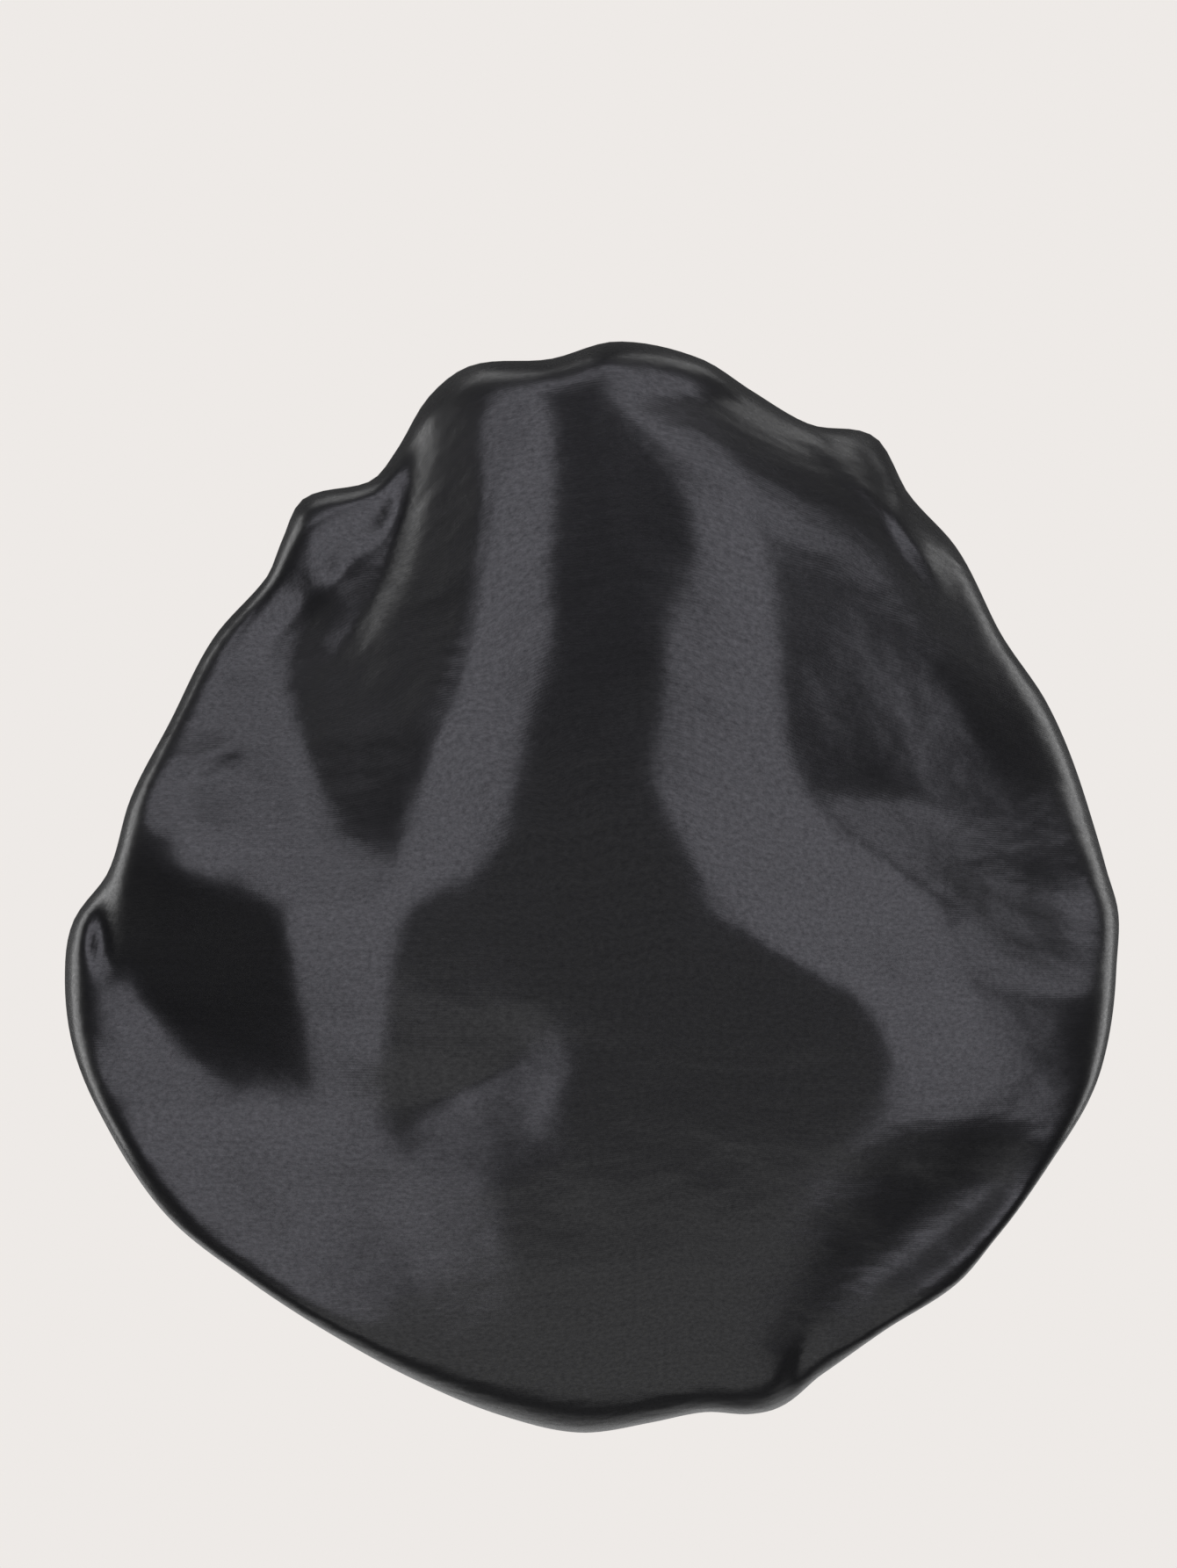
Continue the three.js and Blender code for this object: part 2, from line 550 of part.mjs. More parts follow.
// The trimmed edges inside the seam, the thread that wraps them and the thread that draws up the gathers
function seamPieces() {
  const low = BAND_TOP + CLEARANCE;
  const top = low + ALLOWANCE_HEIGHT;
  const middle = -CLEARANCE - ALLOWANCE_THICKNESS / 2;
  const gatherOut = BAND_THICKNESS - CROWN_CLOTH - CLEARANCE - THREAD_RADIUS;
  const gatherUp = low + THREAD_RADIUS;
  return [
    named(
      'seam_allowance',
      bandPlate(-CLEARANCE - ALLOWANCE_THICKNESS, -CLEARANCE, low, top),
      clothMaterial(),
    ),
    named(
      'overlock_thread',
      threadRing(middle, top + CLEARANCE + THREAD_RADIUS, THREAD_RADIUS),
      threadMaterial,
    ),
    named('gathering_thread', threadRing(gatherOut, gatherUp, THREAD_RADIUS), threadMaterial),
  ];
}

// Box in the band's own directions, about a middle given along the opening and up from the band's middle
function bandBox(width, thickness, height, along, up) {
  const box = new THREE.BoxGeometry(width, thickness, height);
  box.translate(0, along, up);
  box.applyMatrix4(new THREE.Matrix4().makeBasis(ACROSS, ALONG, CROWNWARD));
  return box;
}

// The label hangs flat from its tack, clear of the band's curved wall at its two sides
function careLabel() {
  const labelTop = BAND_TOP - LABEL_DROP;
  const wallAtSides = HEAD_HALF_LENGTH * Math.cos(halfTurnOf(LABEL_WIDTH));
  const along = CLEARANCE + LABEL_THICKNESS / 2 - wallAtSides;
  const tackLow = labelTop + LABEL_THICKNESS / 2 + CLEARANCE;
  return [
    named(
      'care_label',
      bandBox(LABEL_WIDTH, LABEL_THICKNESS, LABEL_LENGTH, along, labelTop - LABEL_LENGTH / 2),
      labelMaterial,
    ),
    named(
      'label_stitching',
      bandBox(LABEL_WIDTH, LABEL_THICKNESS, LABEL_TACK_HEIGHT, along, tackLow + LABEL_TACK_HEIGHT / 2),
      threadMaterial,
    ),
  ];
}

const bonnet = new THREE.Group();
bonnet.name = 'hair_bonnet';
bonnet.add(
  ...splitCrown('crown_outer', outerDepth),
  ...splitCrown('crown_lining', liningDepth),
  bandCasing(),
  ...bandInside(),
  ...bandThreads(),
  ...seamPieces(),
  ...careLabel(),
);

export default bonnet;
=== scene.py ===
"""Looks of a slouchy black satin hair bonnet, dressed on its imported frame.

Metres, in the frame's own axes: +Z is up, the wearer faces +Y, and the origin is the middle of the head
opening.
"""

import math

import bmesh
import bpy
import numpy as np
from bpy.props import FloatProperty, FloatVectorProperty, IntProperty, PointerProperty
from mathutils import Matrix, Vector


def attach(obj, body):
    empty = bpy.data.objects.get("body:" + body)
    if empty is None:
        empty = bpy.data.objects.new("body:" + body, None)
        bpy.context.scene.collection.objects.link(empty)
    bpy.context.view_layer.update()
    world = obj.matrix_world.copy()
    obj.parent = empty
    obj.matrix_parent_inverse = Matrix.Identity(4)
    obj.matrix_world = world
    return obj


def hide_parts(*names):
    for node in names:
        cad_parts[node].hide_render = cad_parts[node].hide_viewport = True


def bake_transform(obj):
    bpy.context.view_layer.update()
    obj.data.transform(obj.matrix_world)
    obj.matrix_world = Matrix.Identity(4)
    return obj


bl_info = {
    "name": "Satin Hair Bonnet",
    "version": (1, 0, 0),
    "blender": (4, 5, 0),
    "location": "3D View > Sidebar > Bonnet",
    "description": "Makes the cloth, band, stitches and label of a satin hair bonnet on its frame",
    "category": "Object",
}

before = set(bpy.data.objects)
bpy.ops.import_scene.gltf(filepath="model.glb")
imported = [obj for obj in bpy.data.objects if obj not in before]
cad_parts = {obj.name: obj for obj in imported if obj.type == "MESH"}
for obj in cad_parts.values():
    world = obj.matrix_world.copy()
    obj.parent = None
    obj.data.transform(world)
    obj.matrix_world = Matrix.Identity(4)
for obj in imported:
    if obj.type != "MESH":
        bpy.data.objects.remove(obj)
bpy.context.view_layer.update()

MM = 0.001
FULL_TURN = 2 * math.pi
CENTRE_BACK = -math.pi / 2

# Head opening and band, as in the frame
HEAD_HALF_WIDTH = 78 * MM
HEAD_HALF_LENGTH = 95 * MM
OPENING_TILT = math.radians(40)
BAND_WIDTH = 50 * MM
BAND_THICKNESS = 4.1 * MM
BAND_TOP = BAND_WIDTH / 2
ACROSS = np.array((1.0, 0.0, 0.0))
FORWARD = np.array((0.0, 1.0, 0.0))
ALONG = np.array((0.0, math.cos(OPENING_TILT), math.sin(OPENING_TILT)))
CROWNWARD = np.array((0.0, -math.sin(OPENING_TILT), math.cos(OPENING_TILT)))

# Bag, as it hangs behind the head
BAG_HALF_WIDTH = 160 * MM
BAG_HALF_HEIGHT = 164 * MM
BAG_MIDDLE_DROP = 5 * MM
BAG_BACK = 180 * MM
RIM_BACK_AT_TOP = 50 * MM
RIM_BACK_AT_SIDE = 75 * MM
RIM_BACK_AT_BOTTOM = 125 * MM
RIM_CURL = 50 * MM
RIM_CURL_AT_BOTTOM = 20 * MM
SEAM_CURL = 40 * MM
SEAM_FLARE = math.radians(65)
POLE_ACROSS_SHARE = 0.15
POLE_UP_SHARE = -0.27
DOME_POWER = 56
DOME_POWER_AT_BOTTOM = 20
DOME_ROUND = 2
RIM_WAVE = 3 * MM
RIM_WAVES = ((4, 1.0, 0.6, 1), (7, 0.7, 2.0, 1))
OUTLINE_POWER = 6
RIM_FADE_SHARE = 0.08

# Seen from behind, the bag's outline, as shares of its half width and half height
OUTLINE_SHARES = (
    (0.99, -0.16), (1.0, -0.06), (0.98, 0.02), (0.95, 0.13), (0.87, 0.33), (0.78, 0.46), (0.7, 0.62),
    (0.61, 0.72), (0.55, 0.83), (0.42, 0.85), (0.31, 0.91), (0.21, 0.97), (0.05, 1.0), (-0.08, 0.965),
    (-0.23, 0.957), (-0.31, 0.9), (-0.37, 0.8), (-0.42, 0.74), (-0.55, 0.71), (-0.59, 0.63), (-0.62, 0.56),
    (-0.72, 0.45), (-0.8, 0.29), (-0.87, 0.15), (-0.91, 0.02), (-0.985, -0.08), (-1.0, -0.18),
    (-0.98, -0.31), (-0.9, -0.46), (-0.79, -0.61), (-0.64, -0.72), (-0.49, -0.815), (-0.34, -0.9),
    (-0.17, -0.97), (-0.02, -1.0), (0.11, -0.98), (0.21, -0.96), (0.3, -0.965), (0.36, -0.95),
    (0.43, -0.89), (0.55, -0.8), (0.68, -0.72), (0.75, -0.635), (0.85, -0.505), (0.95, -0.35),
)

# Depth of the back on its middle line: up share, depth share
MIDDLE_SHARES = (
    (-1.0, 0.92), (-0.8, 0.99), (-0.55, 1.03), (-0.3, 1.04), (-0.06, 1.04), (0.18, 1.02), (0.43, 0.97),
    (0.67, 0.89), (0.88, 0.8), (1.0, 0.74),
)

# Cross sections of the back from the bottom up. Each has its up share, and from left to right the places
# and the slopes of the same twenty-three soft lines.
SECTION_SHARES = (
    (-1.0, (
        (-0.3, -0.8), (-0.27, -0.4), (-0.25, -0.35), (-0.23, -0.3), (-0.21, -0.25), (-0.2, -0.2),
        (-0.18, -0.18), (-0.16, -0.17), (-0.14, -0.17), (-0.12, -0.17), (-0.1, -0.16), (-0.06, -0.15),
        (-0.02, -0.04), (0.04, 0.0), (0.16, 0.05), (0.19, 0.1), (0.24, 0.13), (0.27, 0.16), (0.3, 0.3),
        (0.34, 0.5), (0.37, 0.3), (0.4, 0.2), (0.45, 0.5),
    )),
    (-0.8, (
        (-0.6, -0.8), (-0.56, -0.4), (-0.53, -0.35), (-0.5, -0.3), (-0.47, -0.25), (-0.44, -0.2),
        (-0.4, -0.18), (-0.35, -0.17), (-0.3, -0.17), (-0.26, -0.17), (-0.22, -0.16), (-0.14, -0.15),
        (-0.08, -0.04), (0.04, 0.0), (0.12, 0.05), (0.18, 0.1), (0.26, 0.18), (0.31, 0.28), (0.35, 0.36),
        (0.4, 0.36), (0.45, 0.3), (0.52, 0.3), (0.6, 0.5),
    )),
    (-0.55, (
        (-0.9, -0.7), (-0.84, -0.3), (-0.7, -0.28), (-0.6, -0.27), (-0.47, -0.27), (-0.44, -0.27),
        (-0.41, -0.27), (-0.38, -0.27), (-0.35, -0.27), (-0.32, -0.27), (-0.26, -0.28), (-0.2, -0.28),
        (-0.13, -0.08), (0.05, 0.0), (0.3, 0.04), (0.38, 0.14), (0.46, 0.32), (0.55, 0.47), (0.62, 0.48),
        (0.68, 0.36), (0.74, 0.3), (0.84, 0.3), (0.9, 0.3),
    )),
    (-0.42, (
        (-0.93, -0.7), (-0.88, -0.32), (-0.72, -0.3), (-0.6, -0.35), (-0.49, -0.38), (-0.46, -0.3),
        (-0.43, -0.27), (-0.4, -0.26), (-0.38, -0.22), (-0.355, -0.12), (-0.33, -0.12), (-0.28, -0.22),
        (-0.09, -0.22), (0.0, 0.0), (0.46, 0.035), (0.54, 0.24), (0.61, 0.36), (0.66, 0.4), (0.71, 0.42),
        (0.76, 0.4), (0.81, 0.38), (0.86, 0.45), (0.93, 0.6),
    )),
    (-0.3, (
        (-0.99, -0.7), (-0.93, -0.35), (-0.78, -0.32), (-0.72, -0.74), (-0.54, -0.74), (-0.49, -0.4),
        (-0.46, -0.38), (-0.42, -0.38), (-0.39, -0.33), (-0.355, -0.08), (-0.15, -0.07), (-0.11, -0.24),
        (-0.04, -0.24), (0.0, 0.0), (0.5, 0.03), (0.57, 0.33), (0.69, 0.37), (0.73, 0.42), (0.77, 0.45),
        (0.8, 0.48), (0.84, 0.55), (0.88, 0.7), (0.96, 0.9),
    )),
    (-0.2, (
        (-0.99, -0.7), (-0.94, -0.4), (-0.85, -0.38), (-0.81, -0.8), (-0.56, -0.8), (-0.51, -0.38),
        (-0.47, -0.38), (-0.42, -0.38), (-0.385, -0.34), (-0.35, -0.1), (-0.2, -0.09), (-0.12, -0.1),
        (-0.05, -0.08), (0.0, 0.0), (0.44, 0.04), (0.52, 0.32), (0.67, 0.37), (0.73, 0.5), (0.765, 0.52),
        (0.8, 0.52), (0.845, 0.55), (0.89, 0.6), (0.96, 0.7),
    )),
    (-0.06, (
        (-0.98, -0.7), (-0.94, -0.45), (-0.88, -0.45), (-0.85, -0.85), (-0.6, -0.85), (-0.54, -0.36),
        (-0.48, -0.35), (-0.42, -0.35), (-0.36, -0.3), (-0.32, -0.09), (-0.2, -0.07), (-0.1, -0.06),
        (-0.04, -0.03), (0.0, 0.0), (0.2, 0.05), (0.28, 0.3), (0.64, 0.37), (0.71, 0.75), (0.76, 0.75),
        (0.8, 0.75), (0.85, 0.7), (0.9, 0.45), (0.96, 0.4),
    )),
    (0.05, (
        (-0.95, -0.65), (-0.92, -0.7), (-0.86, -0.75), (-0.8, -0.7), (-0.74, -0.3), (-0.52, -0.3),
        (-0.45, -0.6), (-0.37, -0.6), (-0.32, -0.36), (-0.2, -0.28), (-0.15, -0.07), (-0.1, -0.04),
        (-0.05, -0.02), (-0.01, 0.0), (0.145, 0.05), (0.21, 0.29), (0.495, 0.365), (0.56, 0.7),
        (0.645, 0.7), (0.7, 0.645), (0.8, 0.61), (0.85, 0.6), (0.94, 0.65),
    )),
    (0.18, (
        (-0.9, -0.6), (-0.87, -0.4), (-0.84, -0.28), (-0.8, -0.25), (-0.7, -0.25), (-0.55, -0.28),
        (-0.49, -0.85), (-0.34, -0.85), (-0.29, -0.36), (-0.155, -0.27), (-0.11, -0.05), (-0.08, -0.03),
        (-0.05, -0.01), (-0.02, 0.0), (0.09, 0.05), (0.14, 0.28), (0.35, 0.36), (0.41, 0.64), (0.53, 0.66),
        (0.6, 0.54), (0.75, 0.52), (0.8, 0.75), (0.92, 0.9),
    )),
    (0.43, (
        (-0.8, -0.6), (-0.78, -0.4), (-0.76, -0.28), (-0.74, -0.26), (-0.68, -0.26), (-0.6, -0.3),
        (-0.54, -0.95), (-0.25, -1.0), (-0.205, -0.33), (-0.09, -0.24), (-0.055, -0.05), (-0.02, -0.03),
        (0.01, -0.01), (0.04, 0.0), (0.115, 0.05), (0.16, 0.22), (0.315, 0.34), (0.36, 0.58), (0.44, 0.6),
        (0.5, 0.54), (0.59, 0.58), (0.66, 0.9), (0.8, 0.95),
    )),
    (0.67, (
        (-0.62, -0.8), (-0.6, -0.8), (-0.56, -0.6), (-0.52, -0.4), (-0.45, -0.36), (-0.38, -0.4),
        (-0.33, -1.05), (-0.21, -1.05), (-0.18, -0.4), (-0.085, -0.26), (-0.055, -0.05), (-0.02, -0.03),
        (0.01, -0.01), (0.05, 0.0), (0.165, 0.05), (0.21, 0.24), (0.28, 0.36), (0.315, 0.62), (0.36, 0.64),
        (0.42, 0.76), (0.47, 0.95), (0.52, 1.05), (0.66, 1.05),
    )),
    (0.88, (
        (-0.4, -1.0), (-0.38, -1.0), (-0.36, -1.0), (-0.34, -1.0), (-0.32, -1.0), (-0.3, -1.0),
        (-0.27, -1.0), (-0.21, -1.0), (-0.18, -0.65), (-0.1, -0.45), (-0.08, -0.08), (-0.06, -0.04),
        (-0.04, -0.01), (-0.02, 0.0), (0.01, 0.08), (0.04, 0.4), (0.2, 0.6), (0.22, 0.8), (0.24, 1.0),
        (0.26, 1.0), (0.28, 1.0), (0.3, 1.0), (0.42, 1.0),
    )),
)
MIDDLE_LINE = 13
LEAST_WIDTH_SHARE = 0.001

# Folds of the back, seen from behind: points of the way, half widths to its left and right, height, and how
# far each end fades. A negative height is a valley.
FOLD_SHARES = (
    (
        ((0.88, -0.42), (0.81, -0.55), (0.68, -0.68), (0.52, -0.8), (0.4, -0.9)),
        (0.1, 0.06), 0.022, (0.3, 0.5),
    ),
    (((0.35, -0.97), (0.375, -0.87), (0.43, -0.76)), (0.022, 0.022), -0.016, (0.1, 0.6)),
    (((-0.92, 0.02), (-0.91, -0.1), (-0.89, -0.2)), (0.03, 0.03), -0.03, (0.2, 0.4)),
    (((-0.78, 0.18), (-0.7, 0.21), (-0.63, 0.245)), (0.045, 0.01), 0.011, (0.4, 0.4)),
    (((0.38, 0.84), (0.47, 0.76), (0.57, 0.66), (0.68, 0.5)), (0.035, 0.02), 0.018, (0.2, 0.3)),
    (((0.52, 0.8), (0.555, 0.71), (0.545, 0.6)), (0.018, 0.018), -0.01, (0.1, 0.5)),
    (((0.44, 0.83), (0.5, 0.745), (0.6, 0.69)), (0.014, 0.03), -0.012, (0.1, 0.4)),
    (((-0.54, 0.62), (-0.5, 0.55), (-0.47, 0.46)), (0.035, 0.045), 0.012, (0.4, 0.5)),
    (
        ((-0.33, 0.86), (-0.34, 0.75), (-0.38, 0.57), (-0.45, 0.44), (-0.57, 0.33)),
        (0.03, 0.03), -0.016, (0.1, 0.4),
    ),
)

# Gathers between the rim and the band: turn and half width in degrees, height as a share of the half width
GATHER_SHARES = (
    (10, 11, 0.03), (33, 10, -0.035), (53, 9, 0.05), (71, 9, -0.035), (89, 10, 0.045), (109, 9, -0.04),
    (127, 9, 0.055), (147, 10, -0.045), (167, 10, 0.04), (188, 11, -0.035), (208, 10, 0.04), (230, 10, -0.04),
    (252, 10, 0.035), (275, 10, -0.03), (298, 10, 0.04), (320, 10, -0.04), (343, 10, 0.03),
)
GATHER_PEAK_SHARE = 0.55

# Fine pleats at the seam, in two sets: share of the number, reach down the cloth, share of the height, shift
PLEAT_SHARES = ((1, 0.45, 1.0, 0.0), (3 / 7, 0.85, 1.3, 2.1))
PLEAT_TUCK_SHARE = 0.12
PLEAT_SHARE_AT_SEAM = 0.25
PLEAT_RIDGE = (1.6, 1.4)
PLEAT_DRIFTS = ((5, 1.4, 0.7, 1), (9, 1.1, 2.1, -1))
PLEAT_STRENGTH = 0.72
PLEAT_UNEVENNESS = 0.28
PLEAT_REACH = 0.8
PLEAT_REACH_WAVES = ((13, 0.2, 1.3, 1),)

# Small unevenness of the loose cloth: length in metres, way in degrees; each is longer across its way
RIPPLES = ((64 * MM, 15), (47 * MM, 78), (39 * MM, 131), (28 * MM, 52))
RIPPLE_CROSS_SHARE = 1.7

# Lining: depth under the crown's outer face, its place at the seam, the rings that go there, and its sheen
LINING_DEPTH = 1.3 * MM
LINING_SEAM_OUT = 0.5 * MM
LINING_SEAM_RINGS = 3
LINING_SHEEN_SHARE = 0.8

# Casing, a folded strip: distances out from the head ellipse, and up from the band's middle
CASING_IN = 0.15 * MM
FOLD_UP = -23 * MM
TOPSTITCH_UP = 20 * MM
PUFF_RIDGE = (1.5, 1.3)
PUFF_DRIFTS = ((7, 1.3, 0, 1), (17, 0.9, 1.0, 1))
PUFF_SHARE_AT_FOLD = 0.35
PUFF_SHARE_ABOVE = 0.5
PUFF_SHARE_INSIDE = 0.2
PUFF_FADE = 6 * MM
PUFF_FADE_AT_FOLD = 8 * MM
PUFF_FADE_AT_EDGE = 2 * MM
JOIN_HALF = 1.5 * MM
JOIN_FADE = 4 * MM

# Section of the elastic and of the trimmed edges: how round it is out and up
BAR_POWERS = (0.3, 0.6)

# Elastic: its middle out and up, its flat size, half thickness, and the pitch of its ribs and weft
ELASTIC_OUT = 1.7 * MM
ELASTIC_UP = -3.9 * MM
ELASTIC_WIDTH = 40 * MM
ELASTIC_HALF_THICKNESS = 0.6 * MM
ELASTIC_WEAVE = (2.2 * MM, 0.8 * MM)

# Trimmed edges inside the seam, and the threads there
ALLOWANCE_OUT = -1.1 * MM
ALLOWANCE_UP = 29.3 * MM
ALLOWANCE_HALF = (0.8 * MM, 4 * MM)
ALLOWANCE_GIRTH = 18 * MM
RUFFLE_HEIGHT = 0.35 * MM
RUFFLES = 66
OVERLOCK_UP = 31.4 * MM
OVERLOCK_HALF = (1.15 * MM, 2.4 * MM)
GATHERING_OUT = 2.7 * MM
GATHERING_UP = 25.6 * MM
GATHERING_WAVE = 0.12 * MM
GATHERING_WAVES = 140
GATHERING_RADIUS = 0.25 * MM

# Stitches of the band's join, from the bottom up, and of the elastic's zigzag
STITCH_OUT = 0.25 * MM
JOIN_UPS = np.arange(-24.2, 17.0, 2.9) * MM
JOIN_STITCH = 2.4 * MM
ZIGZAG_UPS = np.linspace(-23.2, 15.4, 17) * MM
ZIGZAG_HALF_WIDTH = 5.4 * MM
ZIGZAG_OUT = 0.9 * MM

# Blank label inside the centre back, with its weave's pitches, and the whip stitches over its upper edge
LABEL_ALONG = -93.22 * MM
LABEL_TOP = 22 * MM
LABEL_CURL = 0.22 * MM
LABEL_BENDS = 1.5
LABEL_CUP = 180
LABEL_WEAVE = (0.45 * MM, 0.6 * MM)
TACK_ACROSS = np.arange(-10.5, 11, 3) * MM
TACK_START = (0.36 * MM, 0.15 * MM)
TACK_END_UP = 2.6 * MM
TACK_RADIUS = 0.25 * MM

# Mesh steps
CROWN_COLUMNS = 360
BACK_RINGS = 70
SIDE_RINGS = 46
BAND_COLUMNS = 480
WALL_RINGS = 26
FOLD_RINGS = 9
TUBE_COLUMNS = 360
ELASTIC_SIDES = 64
ALLOWANCE_SIDES = 24
OVERLOCK_SIDES = 5
GATHERING_SIDES = 8
LOOP_STEPS = 14
LAP_STEPS = 720
STITCH_STEPS = (8, 9)
LABEL_STEPS = (26, 34)
FLOOR_SIDES = 64

# Surfaces: relief of satin and thread, of woven tape, scale of the thread's twist, a wave texture's bands
FINE_RELIEF = 0.1 * MM
TAPE_RELIEF = 0.3 * MM
THREAD_TWIST = 1.2566
WAVE_BANDS = 20

# Darkest and lightest colour of each
THREAD_COLOURS = ((0.008, 0.008, 0.009), (0.022, 0.022, 0.024))
ELASTIC_COLOURS = ((0.012, 0.012, 0.013), (0.05, 0.05, 0.052))
LABEL_COLOURS = ((0.5, 0.485, 0.46), (0.78, 0.765, 0.74))

# Camera and the photograph's frame
PHOTO_WIDTH = 1340
PHOTO_HEIGHT = 1785
PIXEL = 0.267 * MM
PHOTO_MIDDLE_X = 672
PHOTO_MIDDLE_Y = 981
SUBJECT_Y = -90 * MM

# Floor: its radius, and where it fades out and its strength, as the cloth sees it and as the camera does
FLOOR_RADIUS = 2.4
FLOOR_FADES = ((2.3, 1.4, 0.5), (1.0, 0.3, 0.12))


def smooth(value):
    """Smooth step from 0 to 1."""
    value = np.clip(value, 0, 1)
    return value * value * (3 - 2 * value)


def mix(first, second, share):
    """Straight mix of two values."""
    return first + (second - first) * share


def turns(count):
    """Evenly spaced turns of a whole lap."""
    return FULL_TURN * np.arange(count) / count


def unit(vectors):
    """The same directions with length one."""
    return vectors / np.linalg.norm(vectors, axis=-1, keepdims=True)


def add_waves(value, turn, waves, shift=0):
    """Adds waves round the lap, by the count, size, start and way of shift of each."""
    for count, size, start, way in waves:
        value = value + size * np.sin(count * turn + start + way * shift)
    return value


def ridges(phase, depth, power):
    """Round ridges with narrow valleys of a depth between them, one to each lap of the phase."""
    return 1 - depth * np.abs(np.sin(phase / 2)) ** power


def lowness(turn):
    """1 at the rim's lowest point, and 0 from its sides up."""
    return np.maximum(0, -np.sin(turn)) ** 2


def blend_rows(places, rows, at):
    """Smooth curve through rows of values set at rising places, read at any places."""
    places = np.asarray(places, float)
    rows = np.asarray(rows, float)
    last = len(places) - 1
    at = np.clip(at, places[0], places[-1])
    step = np.clip(np.searchsorted(places, at, side="right") - 1, 0, last - 1)
    before, after = np.maximum(step - 1, 0), np.minimum(step + 2, last)
    span = places[step + 1] - places[step]
    t = ((at - places[step]) / span)[..., None]
    slope_from = (rows[step + 1] - rows[before]) * (span / (places[step + 1] - places[before]))[..., None]
    slope_to = (rows[after] - rows[step]) * (span / (places[after] - places[step]))[..., None]
    t2, t3 = t * t, t * t * t
    return (
        (2 * t3 - 3 * t2 + 1) * rows[step] + (t3 - 2 * t2 + t) * slope_from
        + (3 * t2 - 2 * t3) * rows[step + 1] + (t3 - t2) * slope_to
    )


def outline_radius(turn):
    """Distance from the bag's deepest point to its outline, at a turn seen from behind."""
    points = np.array(OUTLINE_SHARES)
    x = (points[:, 0] - POLE_ACROSS_SHARE) * BAG_HALF_WIDTH
    z = (points[:, 1] - POLE_UP_SHARE) * BAG_HALF_HEIGHT
    angles, radii = np.arctan2(z, x), np.hypot(x, z)
    order = np.argsort(angles)
    angles, radii = angles[order], radii[order]
    laps = np.concatenate([angles - FULL_TURN, angles, angles + FULL_TURN])
    wrapped = np.arctan2(np.sin(turn), np.cos(turn))
    return blend_rows(laps, np.tile(radii, 3)[:, None], wrapped)[..., 0]


def egg_radius(turn):
    """Plain egg inside the outline, so that the outline's notches stay near the rim."""
    c, s = np.cos(turn), np.sin(turn)
    wide = BAG_HALF_WIDTH * (1 - np.sign(c) * POLE_ACROSS_SHARE)
    tall = BAG_HALF_HEIGHT * (1 - np.sign(s) * POLE_UP_SHARE)
    return 1 / np.hypot(c / wide, s / tall)


def fold_height(fold, across, up):
    """Height of one fold above the back, in shares, by the distance from its way."""
    points, widths, height, fades = fold
    path = np.array(points)
    chord = path[-1] - path[0]
    length = np.hypot(*chord)
    axes = np.array((chord, (-chord[1], chord[0]))) / length
    ways = (path - path[0]) @ axes.T
    x, y = across - path[0][0], up - path[0][1]
    along, beside = (x * axes[0, 0] + y * axes[0, 1]) / length, x * axes[1, 0] + y * axes[1, 1]
    offset = beside - blend_rows(ways[:, 0] / length, ways[:, 1:], along)[..., 0]
    fade = smooth(along / fades[0]) * smooth((1 - along) / fades[1])
    width = np.where(offset > 0, *widths)
    return height * fade * np.exp(-((offset / width) ** 2))


def section_fall(across, up):
    """How far the back falls away from its middle line, as the cross sections give it, in shares."""
    ups = [section[0] for section in SECTION_SHARES]
    rows = np.array([np.ravel(section[1]) for section in SECTION_SHARES])
    lines = blend_rows(ups, rows, up)
    places, slopes = lines[..., 0::2], lines[..., 1::2]
    middle = places[..., MIDDLE_LINE]

    def climb(at):
        total = np.minimum(at - places[..., 0], 0) * slopes[..., 0]
        total = total + np.maximum(at - places[..., -1], 0) * slopes[..., -1]
        for i in range(places.shape[-1] - 1):
            width = np.maximum(places[..., i + 1] - places[..., i], LEAST_WIDTH_SHARE)
            run = np.clip(at - places[..., i], 0, width)
            change = slopes[..., i + 1] - slopes[..., i]
            total = total + run * slopes[..., i] + run * run / width / 2 * change
        return total

    return climb(across) - climb(middle)


def ripple_height(x, z):
    """Small unevenness of the loose cloth, from -1 to 1."""
    total = 0
    for length, way in RIPPLES:
        c, s = math.cos(math.radians(way)), math.sin(math.radians(way))
        total = total + np.sin(FULL_TURN * (x * c + z * s) / length + way) * np.cos(
            FULL_TURN * (z * c - x * s) / (RIPPLE_CROSS_SHARE * length) - way
        )
    return total / len(RIPPLES)


def back_depth(x, z):
    """How far behind the opening the bag's back lies."""
    across = x / BAG_HALF_WIDTH
    up = (z + BAG_MIDDLE_DROP) / BAG_HALF_HEIGHT
    ups, depths = zip(*MIDDLE_SHARES)
    middle = blend_rows(ups, np.array(depths)[:, None], up)[..., 0] * BAG_BACK
    relief = -section_fall(across, up)
    for fold in FOLD_SHARES:
        relief = relief + fold_height(fold, across, up)
    return middle + relief * BAG_HALF_WIDTH


def rim_back(turn):
    """How far behind the opening the rim lies."""
    s = np.sin(turn)
    back = mix(RIM_BACK_AT_SIDE, np.where(s > 0, RIM_BACK_AT_TOP, RIM_BACK_AT_BOTTOM), s * s)
    return back + RIM_WAVE * add_waves(0, turn, RIM_WAVES)


